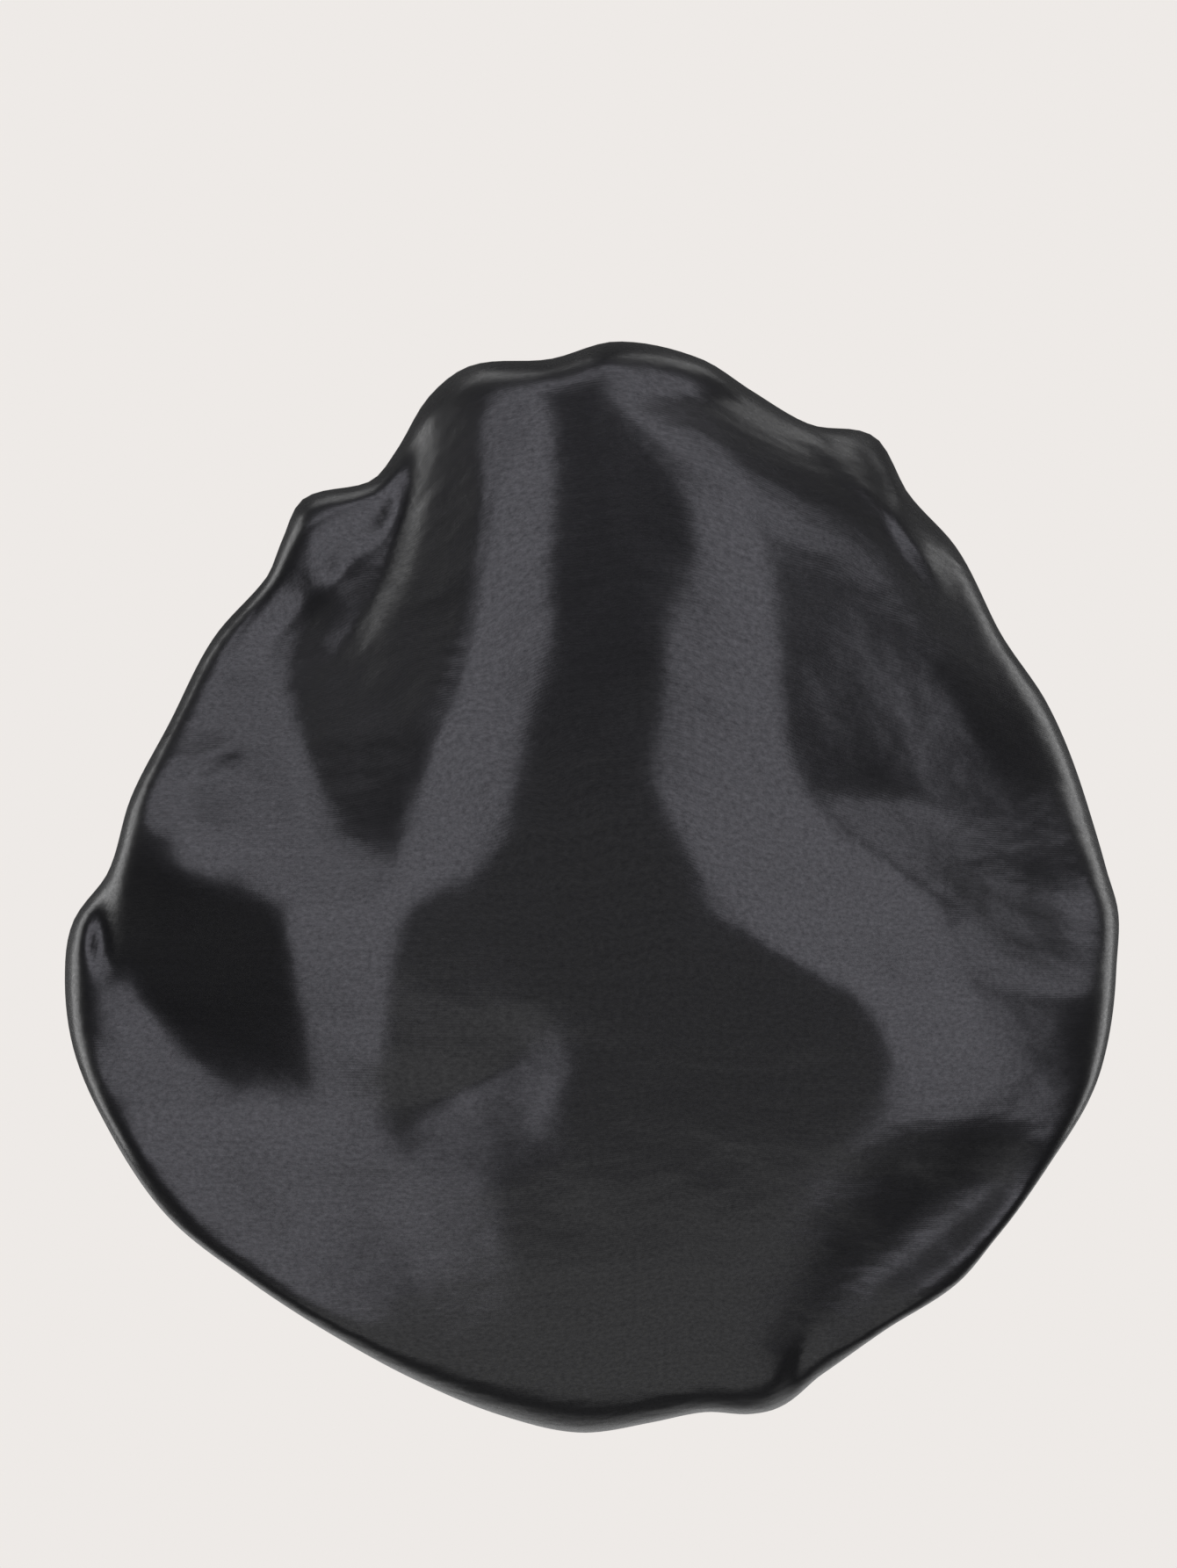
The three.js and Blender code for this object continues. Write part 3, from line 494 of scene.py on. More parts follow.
def back_point(turn, spread, ripple):
    """Point of the bag's back: spread 0 is its middle and 1 its rim."""
    radius = spread * mix(egg_radius(turn), outline_radius(turn), spread ** OUTLINE_POWER)
    x = POLE_ACROSS_SHARE * BAG_HALF_WIDTH + radius * np.cos(turn)
    z = POLE_UP_SHARE * BAG_HALF_HEIGHT - BAG_MIDDLE_DROP + radius * np.sin(turn)
    power = mix(DOME_POWER, DOME_POWER_AT_BOTTOM, lowness(turn))
    dome = (1 - spread ** power) ** (1 / DOME_ROUND)
    loose = ripple * ripple_height(x, z) * smooth((1 - spread) / RIM_FADE_SHARE)
    return np.stack([x, -mix(rim_back(turn), back_depth(x, z), dome) - loose, z], -1)


def band_point(turn, out, up):
    """Point beside the head ellipse: out from it in its own plane, and up from the band's middle."""
    turn, out, up = np.broadcast_arrays(turn, out, up)
    return (
        ((HEAD_HALF_WIDTH + out) * np.cos(turn))[..., None] * ACROSS
        + ((HEAD_HALF_LENGTH + out) * np.sin(turn))[..., None] * ALONG
        + up[..., None] * CROWNWARD
    )


def band_outward(turn):
    """Direction out of the band's wall."""
    across, along = np.cos(turn) * HEAD_HALF_LENGTH, np.sin(turn) * HEAD_HALF_WIDTH
    return unit(across[..., None] * ACROSS + along[..., None] * ALONG)


def gather_height(turn, share, crown):
    """Height of the gathers between the rim and the band's seam."""
    soft = 0
    for middle, width, rise in GATHER_SHARES:
        away = turn - math.radians(middle)
        away = np.arctan2(np.sin(away), np.cos(away))
        soft = soft + rise * np.exp(-((away / math.radians(width)) ** 2))
    peak = smooth(share / GATHER_PEAK_SHARE) * smooth((1 - share) / (1 - GATHER_PEAK_SHARE))
    height = soft * peak * BAG_HALF_WIDTH
    for number, reach, rise, shift in PLEAT_SHARES:
        phase = add_waves(int(number * crown.pleats) * turn, turn, PLEAT_DRIFTS, shift)
        strength = PLEAT_STRENGTH + PLEAT_UNEVENNESS * np.sin(7 * turn + shift) * np.cos(11 * turn + shift)
        length = reach * add_waves(PLEAT_REACH, turn, PLEAT_REACH_WAVES, shift)
        rise_in = smooth((share - 1 + length) / length)
        tuck = mix(PLEAT_SHARE_AT_SEAM, 1.0, smooth((1 - share) / PLEAT_TUCK_SHARE))
        ridge = ridges(phase, *PLEAT_RIDGE) * strength * rise_in * tuck
        height = height + ridge * (rise * crown.pleat_height)
    return height


def side_point(turn, share, crown):
    """Point between the rim, share 0, and the seam on the band, share 1."""
    rim = back_point(turn, np.ones_like(turn), 0)
    seam = band_point(turn, BAND_THICKNESS, BAND_TOP + crown.seam_gap)
    outward = band_outward(turn)
    curl = mix(RIM_CURL, RIM_CURL_AT_BOTTOM, lowness(turn))
    rim_guide = rim + curl[..., None] * FORWARD
    seam_guide = seam + SEAM_CURL * (outward * math.cos(SEAM_FLARE) + CROWNWARD * math.sin(SEAM_FLARE))
    t = share[..., None]
    point = (
        (1 - t) ** 3 * rim + 3 * (1 - t) ** 2 * t * rim_guide
        + 3 * (1 - t) * t ** 2 * seam_guide + t ** 3 * seam
    )
    rimward = np.stack([np.cos(turn), np.zeros_like(turn), np.sin(turn)], -1)
    away = unit(mix(rimward, outward, t))
    return point + away * gather_height(turn, share, crown)[..., None]


def crown_surface(crown):
    """Points, outward directions and flat radii of the crown's outer face, ring by ring from its middle."""
    turn = turns(CROWN_COLUMNS)
    spreads = np.sin(math.pi / 2 * np.arange(BACK_RINGS + 1) / BACK_RINGS)
    shares = np.arange(1, SIDE_RINGS + 1) / SIDE_RINGS
    grid_turn, spread = np.meshgrid(turn, spreads)
    back = back_point(grid_turn, spread, crown.ripple)
    grid_turn, share = np.meshgrid(turn, shares)
    side = side_point(grid_turn, share, crown)
    points = np.concatenate([back, side])
    around = np.roll(points, -1, axis=1) - np.roll(points, 1, axis=1)
    along = np.gradient(points, axis=0)
    outward = np.cross(along, around)
    outward[0] = outward[1].mean(0)
    outward = unit(outward)
    steps = np.linalg.norm(np.diff(points, axis=0), axis=-1)
    lengths = np.concatenate([np.zeros((1, CROWN_COLUMNS)), np.cumsum(steps, 0)])
    return points, outward, lengths / lengths[-1]


class Socket:
    """One output of a shader node, on which Python's operators add Math nodes."""

    def __init__(self, paint, output):
        self.paint = paint
        self.output = output

    def maths(self, operation, first, second):
        return self.paint.add("ShaderNodeMath", {"operation": operation}, {0: first, 1: second})

    def __add__(self, other):
        return self.maths("ADD", self, other)

    def __radd__(self, other):
        return self.maths("ADD", other, self)

    def __sub__(self, other):
        return self.maths("SUBTRACT", self, other)

    def __rsub__(self, other):
        return self.maths("SUBTRACT", other, self)

    def __mul__(self, other):
        return self.maths("MULTIPLY", self, other)

    def __rmul__(self, other):
        return self.maths("MULTIPLY", other, self)


class Paint:
    """A node tree with one method that adds a node, and short names for the nodes that come often."""

    def __init__(self, tree):
        self.tree = tree
        tree.nodes.clear()

    def add(self, kind, settings=None, inputs=None, output=0):
        node = self.tree.nodes.new(kind)
        for name, value in (settings or {}).items():
            setattr(node, name, value)
        for name, value in (inputs or {}).items():
            if isinstance(value, Socket):
                self.tree.links.new(value.output, node.inputs[name])
            else:
                node.inputs[name].default_value = value
        return Socket(self, node.outputs[output]) if node.outputs else None

    def colours(self, share, first, second):
        """Mix of two colours."""
        inputs = {0: share, 6: (*first, 1), 7: (*second, 1)}
        return self.add("ShaderNodeMix", {"data_type": "RGBA"}, inputs, 2)

    def stretch(self, place, along, across):
        """Place scaled along its two ways."""
        return self.add("ShaderNodeMapping", {}, {"Vector": place, "Scale": (along, across, 1)})

    def noise(self, place, scale=1.0, detail=3.0, roughness=0.5):
        """Cloudy noise from 0 to 1."""
        inputs = {"Vector": place, "Scale": scale, "Detail": detail, "Roughness": roughness}
        return self.add("ShaderNodeTexNoise", {}, inputs, "Fac")

    def waves(self, place, way, scale, distortion=0.0):
        """Even bands across one way, from 0 to 1."""
        inputs = {"Vector": place, "Scale": scale, "Distortion": distortion, "Detail": 1.0}
        return self.add("ShaderNodeTexWave", {"wave_type": "BANDS", "bands_direction": way}, inputs, "Fac")

    def bump(self, height, strength, distance):
        """Normal of a raised surface."""
        inputs = {"Height": height, "Strength": strength, "Distance": distance}
        return self.add("ShaderNodeBump", {}, inputs, "Normal")

    def surface(self, inputs):
        """Principled surface as the tree's output."""
        surface = self.add("ShaderNodeBsdfPrincipled", {}, inputs)
        self.add("ShaderNodeOutputMaterial", {}, {"Surface": surface})


def new_material(name):
    """Empty node material and its paint."""
    material = bpy.data.materials.new(name)
    material.use_nodes = True
    return material, Paint(material.node_tree)


def satin_material(name, crown, sheen=1.0):
    """Black satin: a broad soft sheen with a finer one on top, and the grain of its long floats."""
    material, paint = new_material(name)
    flat = paint.add("ShaderNodeUVMap", {"uv_map": "cloth"})
    cloth = paint.stretch(flat, 1 / MM, 1 / MM)
    grain_place = paint.stretch(cloth, 0.7, 1.1)
    grain = paint.noise(grain_place, roughness=0.8)
    cross = paint.add("ShaderNodeTexVoronoi", {}, {"Vector": grain_place, "Scale": 1.6}, "Distance")
    streak = paint.noise(paint.stretch(cloth, 0.02, 0.5))
    floats = paint.waves(cloth, "Y", 0.55, 1.5)
    creases = paint.noise(paint.stretch(cloth, 0.05, 0.09), detail=2.0)
    height = grain * 0.3 + floats * 0.3 + cross * 0.15 + creases * crown.crumple
    bump = paint.bump(height, crown.grain, FINE_RELIEF)
    dark = tuple(crown.colour)
    light = tuple(min(1, 1.6 * channel) for channel in dark)
    paint.surface({
        "Base Color": paint.colours(grain, dark, light),
        "Roughness": 0.42 + 0.1 * (streak - 0.5),
        "IOR": 1.5,
        "Specular IOR Level": 0.15,
        "Coat Weight": sheen * (0.9 + 2.0 * (grain - 0.5) + 0.3 * (streak - 0.5)),
        "Coat Roughness": crown.sheen_roughness,
        "Coat IOR": 1.5,
        "Normal": bump,
        "Coat Normal": bump,
    })
    return material


def thread_material():
    """Twisted polyester thread."""
    material, paint = new_material("sewing thread")
    place = paint.add("ShaderNodeUVMap", {"uv_map": "cloth"})
    twist = paint.waves(paint.stretch(place, 1, 4), "DIAGONAL", THREAD_TWIST)
    paint.surface({
        "Base Color": paint.colours(twist, *THREAD_COLOURS),
        "Roughness": 0.5 + 0.15 * twist,
        "Normal": paint.bump(twist, 0.6, FINE_RELIEF),
    })
    return material


def woven_material(name, colours, weave, strength):
    """Woven tape: ribs along it and fine weft across it, by the weave's two pitches."""
    material, paint = new_material(name)
    place = paint.add("ShaderNodeUVMap", {"uv_map": "cloth"})
    ribs, picks = (
        paint.waves(place, way, FULL_TURN / WAVE_BANDS / pitch, 0.3) for way, pitch in zip("XY", weave)
    )
    soil = paint.noise(place, 90.0)
    height = ribs * 0.7 + picks * 0.3
    paint.surface({
        "Base Color": paint.colours(height * 0.7 + soil * 0.3, *colours),
        "Roughness": 0.75 + 0.15 * soil,
        "Specular IOR Level": 0.3,
        "Normal": paint.bump(height, strength, TAPE_RELIEF),
    })
    return material


def closed(grid, axis=1):
    """Grid whose last line along an axis comes back to its first."""
    return np.concatenate([grid, np.take(grid, [0], axis=axis)], axis)


def mesh_points(name, shape):
    """Mesh of a finished shape, and its vertices' places."""
    mesh = bpy.data.meshes.new(name)
    shape.to_mesh(mesh)
    shape.free()
    flat = np.zeros(len(mesh.vertices) * 3)
    mesh.vertices.foreach_get("co", flat)
    return mesh, flat.reshape(-1, 3)


def set_points(mesh, points):
    """Moves the mesh's vertices to their places."""
    mesh.vertices.foreach_set("co", np.ascontiguousarray(points, dtype=np.float32).ravel())
    mesh.update()


def set_cloth_map(mesh, flat):
    """UV map of the flat cloth, from each vertex's place on it."""
    corners = np.zeros(len(mesh.loops), dtype=np.int64)
    mesh.loops.foreach_get("vertex_index", corners)
    layer = mesh.uv_layers.new(name="cloth")
    layer.data.foreach_set("uv", np.ascontiguousarray(flat[corners], dtype=np.float32).ravel())


def grid_mesh(name, points, flat):
    """Mesh of a grid of points with their places on the flat cloth; lines that meet are joined.

    Its outer side is that of the first axis turned towards the second.
    """
    rows, columns = points.shape[:2]
    shape = bmesh.new()
    bmesh.ops.create_grid(shape, x_segments=rows - 1, y_segments=columns - 1, size=0.5)
    mesh, places = mesh_points(name, shape)
    row = np.rint((places[:, 0] + 0.5) * (rows - 1)).astype(int)
    column = np.rint((places[:, 1] + 0.5) * (columns - 1)).astype(int)
    set_points(mesh, points[row, column])
    set_cloth_map(mesh, flat[row, column])
    shape = bmesh.new()
    shape.from_mesh(mesh)
    bmesh.ops.remove_doubles(shape, verts=shape.verts, dist=0.001 * MM)
    shape.to_mesh(mesh)
    shape.free()
    return mesh


def link(name, data):
    """New object in the scene."""
    item = bpy.data.objects.new(name, data)
    bpy.context.scene.collection.objects.link(item)
    return item


def put_in_scene(name, mesh, material):
    """Object at the origin with its material and smooth faces."""
    mesh.name = name
    mesh.materials.append(material)
    mesh.shade_smooth()
    return link(name, mesh)


def thicken(piece, thickness, offset=-1.0):
    """Gives a sheet its thickness for good."""
    solidify = piece.modifiers.new("cloth thickness", "SOLIDIFY")
    solidify.thickness = thickness
    solidify.offset = offset
    bpy.context.view_layer.objects.active = piece
    bpy.ops.object.modifier_apply(modifier=solidify.name)
    piece.data.shade_smooth()


class CrownSettings(bpy.types.PropertyGroup):
    """Sizes and colours of the crown's two layers."""

    cloth: FloatProperty(
        name="Cloth Thickness", description="Thickness of one layer of satin", default=0.35 * MM,
        unit="LENGTH", subtype="DISTANCE",
    )
    disc: FloatProperty(
        name="Disc Diameter", description="Diameter of the disc each layer is cut from", default=560 * MM,
        unit="LENGTH", subtype="DISTANCE",
    )
    ripple: FloatProperty(
        name="Ripple Height", description="Height of the loose cloth's small unevenness", default=0.5 * MM,
        unit="LENGTH", subtype="DISTANCE",
    )
    pleats: IntProperty(name="Pleats", description="Number of fine pleats round the seam", default=66)
    pleat_height: FloatProperty(
        name="Pleat Height", description="Height of the fine pleats", default=1.5 * MM,
        unit="LENGTH", subtype="DISTANCE",
    )
    seam_gap: FloatProperty(
        name="Seam Gap", description="Distance from the crown's edge to the band's edge", default=0.2 * MM,
        unit="LENGTH", subtype="DISTANCE",
    )
    grain: FloatProperty(
        name="Grain", description="Strength of the satin's woven grain", default=0.25, subtype="FACTOR",
    )
    crumple: FloatProperty(
        name="Crumple", description="Height of the cloth's creases, in heights of its grain", default=30.0,
    )
    sheen_roughness: FloatProperty(
        name="Sheen Roughness", description="How far the satin spreads a highlight", default=0.27,
        subtype="FACTOR",
    )
    colour: FloatVectorProperty(
        name="Satin Colour", description="Colour of the satin", default=(0.005, 0.005, 0.0054),
        subtype="COLOR", size=3, min=0, max=1,
    )


class BandSettings(bpy.types.PropertyGroup):
    """Sizes of the band, its stitches and its label."""

    ruche: FloatProperty(
        name="Ruche Height", description="Height of the casing's small puffs over the elastic",
        default=0.55 * MM, unit="LENGTH", subtype="DISTANCE",
    )
    puffs: IntProperty(name="Puffs", description="Number of small puffs round the casing", default=84)
    thread: FloatProperty(
        name="Thread Radius", description="Radius of the sewing thread as it shows", default=0.32 * MM,
        unit="LENGTH", subtype="DISTANCE",
    )
    fine_thread: FloatProperty(
        name="Overlock Thread Radius", description="Radius of the thread that wraps the trimmed edges",
        default=0.16 * MM, unit="LENGTH", subtype="DISTANCE",
    )
    stitches: IntProperty(name="Topstitches", description="Number of stitches round the band", default=143)
    stitch: FloatProperty(
        name="Stitch Length", description="Length of one stitch", default=3.2 * MM,
        unit="LENGTH", subtype="DISTANCE",
    )
    loops: IntProperty(name="Overlock Loops", description="Loops round the trimmed edges", default=225)
    label_width: FloatProperty(
        name="Label Width", description="Width of the blank label", default=25 * MM,
        unit="LENGTH", subtype="DISTANCE",
    )
    label_length: FloatProperty(
        name="Label Length", description="Length of the blank label", default=34 * MM,
        unit="LENGTH", subtype="DISTANCE",
    )
    label_cloth: FloatProperty(
        name="Label Thickness", description="Thickness of the label's tape", default=0.35 * MM,
        unit="LENGTH", subtype="DISTANCE",
    )


class StageSettings(bpy.types.PropertyGroup):
    """Camera, lights and background."""

    distance: FloatProperty(
        name="Camera Distance", description="Distance from the camera to the bonnet", default=1800 * MM,
        unit="LENGTH", subtype="DISTANCE",
    )
    sensor: FloatProperty(
        name="Sensor Height", description="Height of the camera's sensor in millimetres", default=36,
    )
    side_light: FloatProperty(
        name="Side Light", description="Brightness of the two tall side panels", default=1.8,
    )
    top_light: FloatProperty(
        name="Top Light", description="Brightness of the two overhead panels", default=1.5,
    )
    back_light: FloatProperty(
        name="Back Light", description="Brightness of the two panels on the wearer's side", default=0.6,
    )
    front_light: FloatProperty(
        name="Front Light", description="Brightness of the panels before the wearer", default=1.3,
    )
    fill_light: FloatProperty(
        name="Fill Light", description="Brightness of the dim panel behind the camera", default=0.22,
    )
    low_light: FloatProperty(
        name="Low Light", description="Brightness of the panel low down before the camera", default=0.6,
    )
    cool: FloatVectorProperty(
        name="Cool Light Colour", description="Colour of the side and overhead panels",
        default=(0.93, 0.915, 1.02), subtype="COLOR", size=3, min=0, max=2,
    )
    room: FloatProperty(
        name="Room Light", description="Brightness of the room round the bonnet", default=0.05,
    )
    background: FloatVectorProperty(
        name="Background Colour", description="Colour of the floor and the background",
        default=(0.855, 0.823, 0.799), subtype="COLOR", size=3, min=0, max=1,
    )
    floor_drop: FloatProperty(
        name="Floor Drop", description="Distance from the band's middle down to the floor", default=850 * MM,
        unit="LENGTH", subtype="DISTANCE",
    )


class MakeStage(bpy.types.Operator):
    """Makes the camera, the soft lights, the floor and the pale background"""

    bl_idname = "bonnet.make_stage"
    bl_label = "Make Stage"

    def execute(self, context):
        stage = context.scene.bonnet_stage
        cool = tuple(stage.cool)
        context.scene.view_settings.view_transform = "Standard"
        self.make_camera(context.scene, stage)
        for side in (-1, 1):
            self.panel("side panel", stage.side_light, (0.9, 3.0), (side * 0.95, -1.2, 0.4), colour=cool)
            self.panel("front panel", stage.front_light, (0.9, 1.8), (side * 1.5, 0.9, 0.1))
            self.panel("top panel", stage.top_light, (0.6, 1.9), (side * 0.86, -0.25, 1.6), colour=cool)
            self.panel("back panel", stage.back_light, (0.7, 1.0), (side * 0.7, 1.3, 1.7))
        self.panel("fill panel", stage.fill_light, (1.2, 1.6), (0, -2.3, 0.05))
        self.panel("low panel", stage.low_light, (1.3, 1.9), (-0.1, -1.15, -0.7), (-0.1, -1.05, 0.5))
        self.panel("low front panel", stage.front_light / 3, (1.6, 1.2), (0, 1.0, -0.8))
        self.make_world(context.scene, stage)
        self.make_floor(stage)
        return {"FINISHED"}

    def make_camera(self, scene, stage):
        data = bpy.data.cameras.new("camera")
        camera = scene.camera = link("camera", data)
        data.sensor_width = stage.sensor
        data.lens = stage.sensor * stage.distance / (PHOTO_HEIGHT * PIXEL)
        camera.location = (
            (PHOTO_WIDTH / 2 - PHOTO_MIDDLE_X) * PIXEL,
            SUBJECT_Y - stage.distance,
            (PHOTO_MIDDLE_Y - PHOTO_HEIGHT / 2) * PIXEL,
        )
        camera.rotation_euler = (math.pi / 2, 0, 0)

    def panel(self, name, brightness, size, place, aim=(0, SUBJECT_Y, 0), colour=(1.0, 1.0, 1.0)):
        """Soft rectangular light that shows only in what it lights."""
        data = bpy.data.lights.new(name, "AREA")
        data.shape = "RECTANGLE"
        data.size, data.size_y = size
        data.energy = brightness * math.pi * size[0] * size[1]
        data.color = colour
        light = link(name, data)
        light.location = place
        light.rotation_euler = (Vector(place) - Vector(aim)).to_track_quat("Z", "Y").to_euler()
        light.visible_camera = False

    def make_world(self, scene, stage):
        world = bpy.data.worlds.new("studio")
        scene.world = world
        world.use_nodes = True
        paint = Paint(world.node_tree)
        camera = paint.add("ShaderNodeLightPath", output="Is Camera Ray")
        through = paint.add("ShaderNodeLightPath", output="Is Transmission Ray")
        colour = paint.colours(camera + through, (stage.room,) * 3, tuple(stage.background))
        surface = paint.add("ShaderNodeBackground", {}, {"Color": colour, "Strength": 1.0})
        paint.add("ShaderNodeOutputWorld", {}, {"Surface": surface})

    def make_floor(self, stage):
        shape = bmesh.new()
        middle = Vector((0, SUBJECT_Y, -stage.floor_drop))
        bmesh.ops.create_circle(
            shape, cap_ends=True, segments=FLOOR_SIDES, radius=FLOOR_RADIUS, matrix=Matrix.Translation(middle)
        )
        mesh = bpy.data.meshes.new("floor")
        shape.to_mesh(mesh)
        shape.free()
        material, paint = new_material("pale floor with painted shade")
        place = paint.add("ShaderNodeTexCoord", output="Object")
        centred = paint.add("ShaderNodeMapping", {}, {"Vector": place, "Location": -middle})
        away = paint.add("ShaderNodeVectorMath", {"operation": "LENGTH"}, {0: centred}, "Value")
        under = paint.add("ShaderNodeNewGeometry", output="Backfacing")
        edge, near = (
            strength * paint.add(
                "ShaderNodeMapRange", {}, {"Value": away, "From Min": out, "From Max": start}, "Result"
            )
            for out, start, strength in FLOOR_FADES
        )
        camera = paint.add("ShaderNodeLightPath", output="Is Camera Ray")
        paint.surface({
            # Painted shade: the floor is the pale background only to the camera; to every other ray it is
            # dark grey, so the satin reflects and takes bounce light from a dark floor, as if the floor were
            # in shade.
            "Base Color": paint.colours(camera, (0.1, 0.1, 0.1), tuple(stage.background)),
            "Roughness": 0.9,
            "Specular IOR Level": 0.1,
            "Alpha": (edge * (1 - camera) + near * camera) * (1 - under),
        })
        put_in_scene("floor", mesh, material)


class MakeCrown(bpy.types.Operator):
    """Makes the crown's outer satin layer"""

    bl_idname = "bonnet.make_crown"
    bl_label = "Make Crown"

    def execute(self, context):
        crown = context.scene.bonnet_crown
        points, _, flat = crown_surface(crown)
        piece = crown_piece("crown_satin", points, flat, satin_material("outer satin", crown), crown)
        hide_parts("crown_outer", "crown_outer_pouch")
        hang_on_swing(piece)
        return {"FINISHED"}


def crown_piece(name, points, flat, material, crown):
    """One closed layer of the crown from its outer face's grid."""
    turn = FULL_TURN * np.arange(CROWN_COLUMNS + 1) / CROWN_COLUMNS
    radius = closed(flat) * crown.disc / 2
    on_disc = np.stack([radius * np.cos(turn), radius * np.sin(turn)], -1)
    piece = put_in_scene(name, grid_mesh(name, closed(points), on_disc), material)
    thicken(piece, crown.cloth)
    return piece


def hang_on_swing(piece):
    """Bakes a layer's place into its mesh."""
    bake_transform(piece)


class MakeLining(bpy.types.Operator):
    """Makes the crown's satin lining"""

    bl_idname = "bonnet.make_lining"
    bl_label = "Make Lining"

    def execute(self, context):
        crown = context.scene.bonnet_crown
        points, outward, flat = crown_surface(crown)
        inner = points - LINING_DEPTH * outward
        seam = band_point(turns(CROWN_COLUMNS), LINING_SEAM_OUT, BAND_TOP + crown.seam_gap)
        rings = np.arange(1 - len(points), 1) + LINING_SEAM_RINGS
        inner = mix(inner, seam[None], smooth(rings / LINING_SEAM_RINGS)[:, None, None])
        satin = satin_material("lining satin", crown, LINING_SHEEN_SHARE)
        piece = crown_piece("lining_satin", inner, flat, satin, crown)
        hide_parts("crown_lining", "crown_lining_pouch")
        hang_on_swing(piece)
        return {"FINISHED"}


def ride_band(piece, slot, *nodes):
    """Hangs a piece on the band in the place of its frame nodes."""
    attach(piece, "band")
    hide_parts(*nodes)


def tube_piece(name, points, travel, girth, material):
    """Closed tube from its points by column and side, with its length and girth for the cloth map."""
    points = closed(closed(points), 0)
    round_it = girth * np.linspace(0, 1, points.shape[1])
    flat = np.stack(np.meshgrid(travel, round_it, indexing="ij")[::-1], -1)
    return put_in_scene(name, grid_mesh(name, points, flat), material)


def round_tube(path, away, radius, sides):
    """Points of a round tube about a closed path; away is a direction beside the path at each point."""
    ahead = np.roll(path, -1, axis=0) - np.roll(path, 1, axis=0)
    beside = unit(np.cross(away, ahead))
    away = unit(np.cross(ahead, beside))
    angle = turns(sides)[None, :, None]
    return path[:, None] + radius * (np.cos(angle) * away[:, None] + np.sin(angle) * beside[:, None])


def rounded_bar(turn, sides, middle, half):
    """Out and up of a flat bar's rounded section at each side, about its middle."""
    c, s = np.cos(turns(sides)), np.sin(turns(sides))
    out = middle[0] + half[0] * np.sign(c) * np.abs(c) ** BAR_POWERS[0]
    up = middle[1] + half[1] * np.sign(s) * np.abs(s) ** BAR_POWERS[1]
    return np.meshgrid(turn, out, indexing="ij") + [np.broadcast_to(up, (len(turn), sides))]


def travel_turn(travel):
    """Turn at a distance round the band from its centre back, and the length of a lap."""
    turn = CENTRE_BACK + FULL_TURN * np.arange(LAP_STEPS + 1) / LAP_STEPS
    steps = np.linalg.norm(np.diff(band_point(turn, BAND_THICKNESS, 0.0), axis=0), axis=-1)
    lengths = np.concatenate([[0], np.cumsum(steps)])
    return np.interp(np.asarray(travel) % lengths[-1], lengths, turn), lengths[-1]


def stitch_piece(name, stitches, radius, place, material):
    """Separate stitches with rounded ends, from flat start and end points that place() puts on the piece."""
    starts, ends = (np.array(side, float) for side in zip(*stitches))
    shape = bmesh.new()
    shape.loops.layers.uv.new("cloth")
    for start, end in zip(starts, ends):
        way = Vector(end - start)
        lie = Matrix.Translation((start + end) / 2) @ way.to_track_quat("Z", "Y").to_matrix().to_4x4()
        size = Matrix.Diagonal((radius, radius, way.length / 2, 1))
        bmesh.ops.create_uvsphere(
            shape, u_segments=STITCH_STEPS[0], v_segments=STITCH_STEPS[1], radius=1, matrix=lie @ size,
            calc_uvs=True,
        )
    mesh, flat = mesh_points(name, shape)
    flat = flat.reshape(len(starts), -1, 3)
    middles = ((starts + ends) / 2)[:, None]
    ways = ((ends - starts) / 2)[:, None]
    share = ((flat - middles) * ways).sum(-1, keepdims=True) / (ways ** 2).sum(-1, keepdims=True)
    spine = middles + share * ways
    full = np.sqrt(1 + np.clip(share, -1, 1) ** 2)
    flat = spine + (flat - spine) * full
    set_points(mesh, place(flat.reshape(-1, 3)))
    return put_in_scene(name, mesh, material)


def place_on_band(flat):
    """Place of a flat point on the band: its distance round from the centre back, up, and out."""
    turn, _ = travel_turn(flat[:, 0])
    return band_point(turn, flat[:, 2], flat[:, 1])


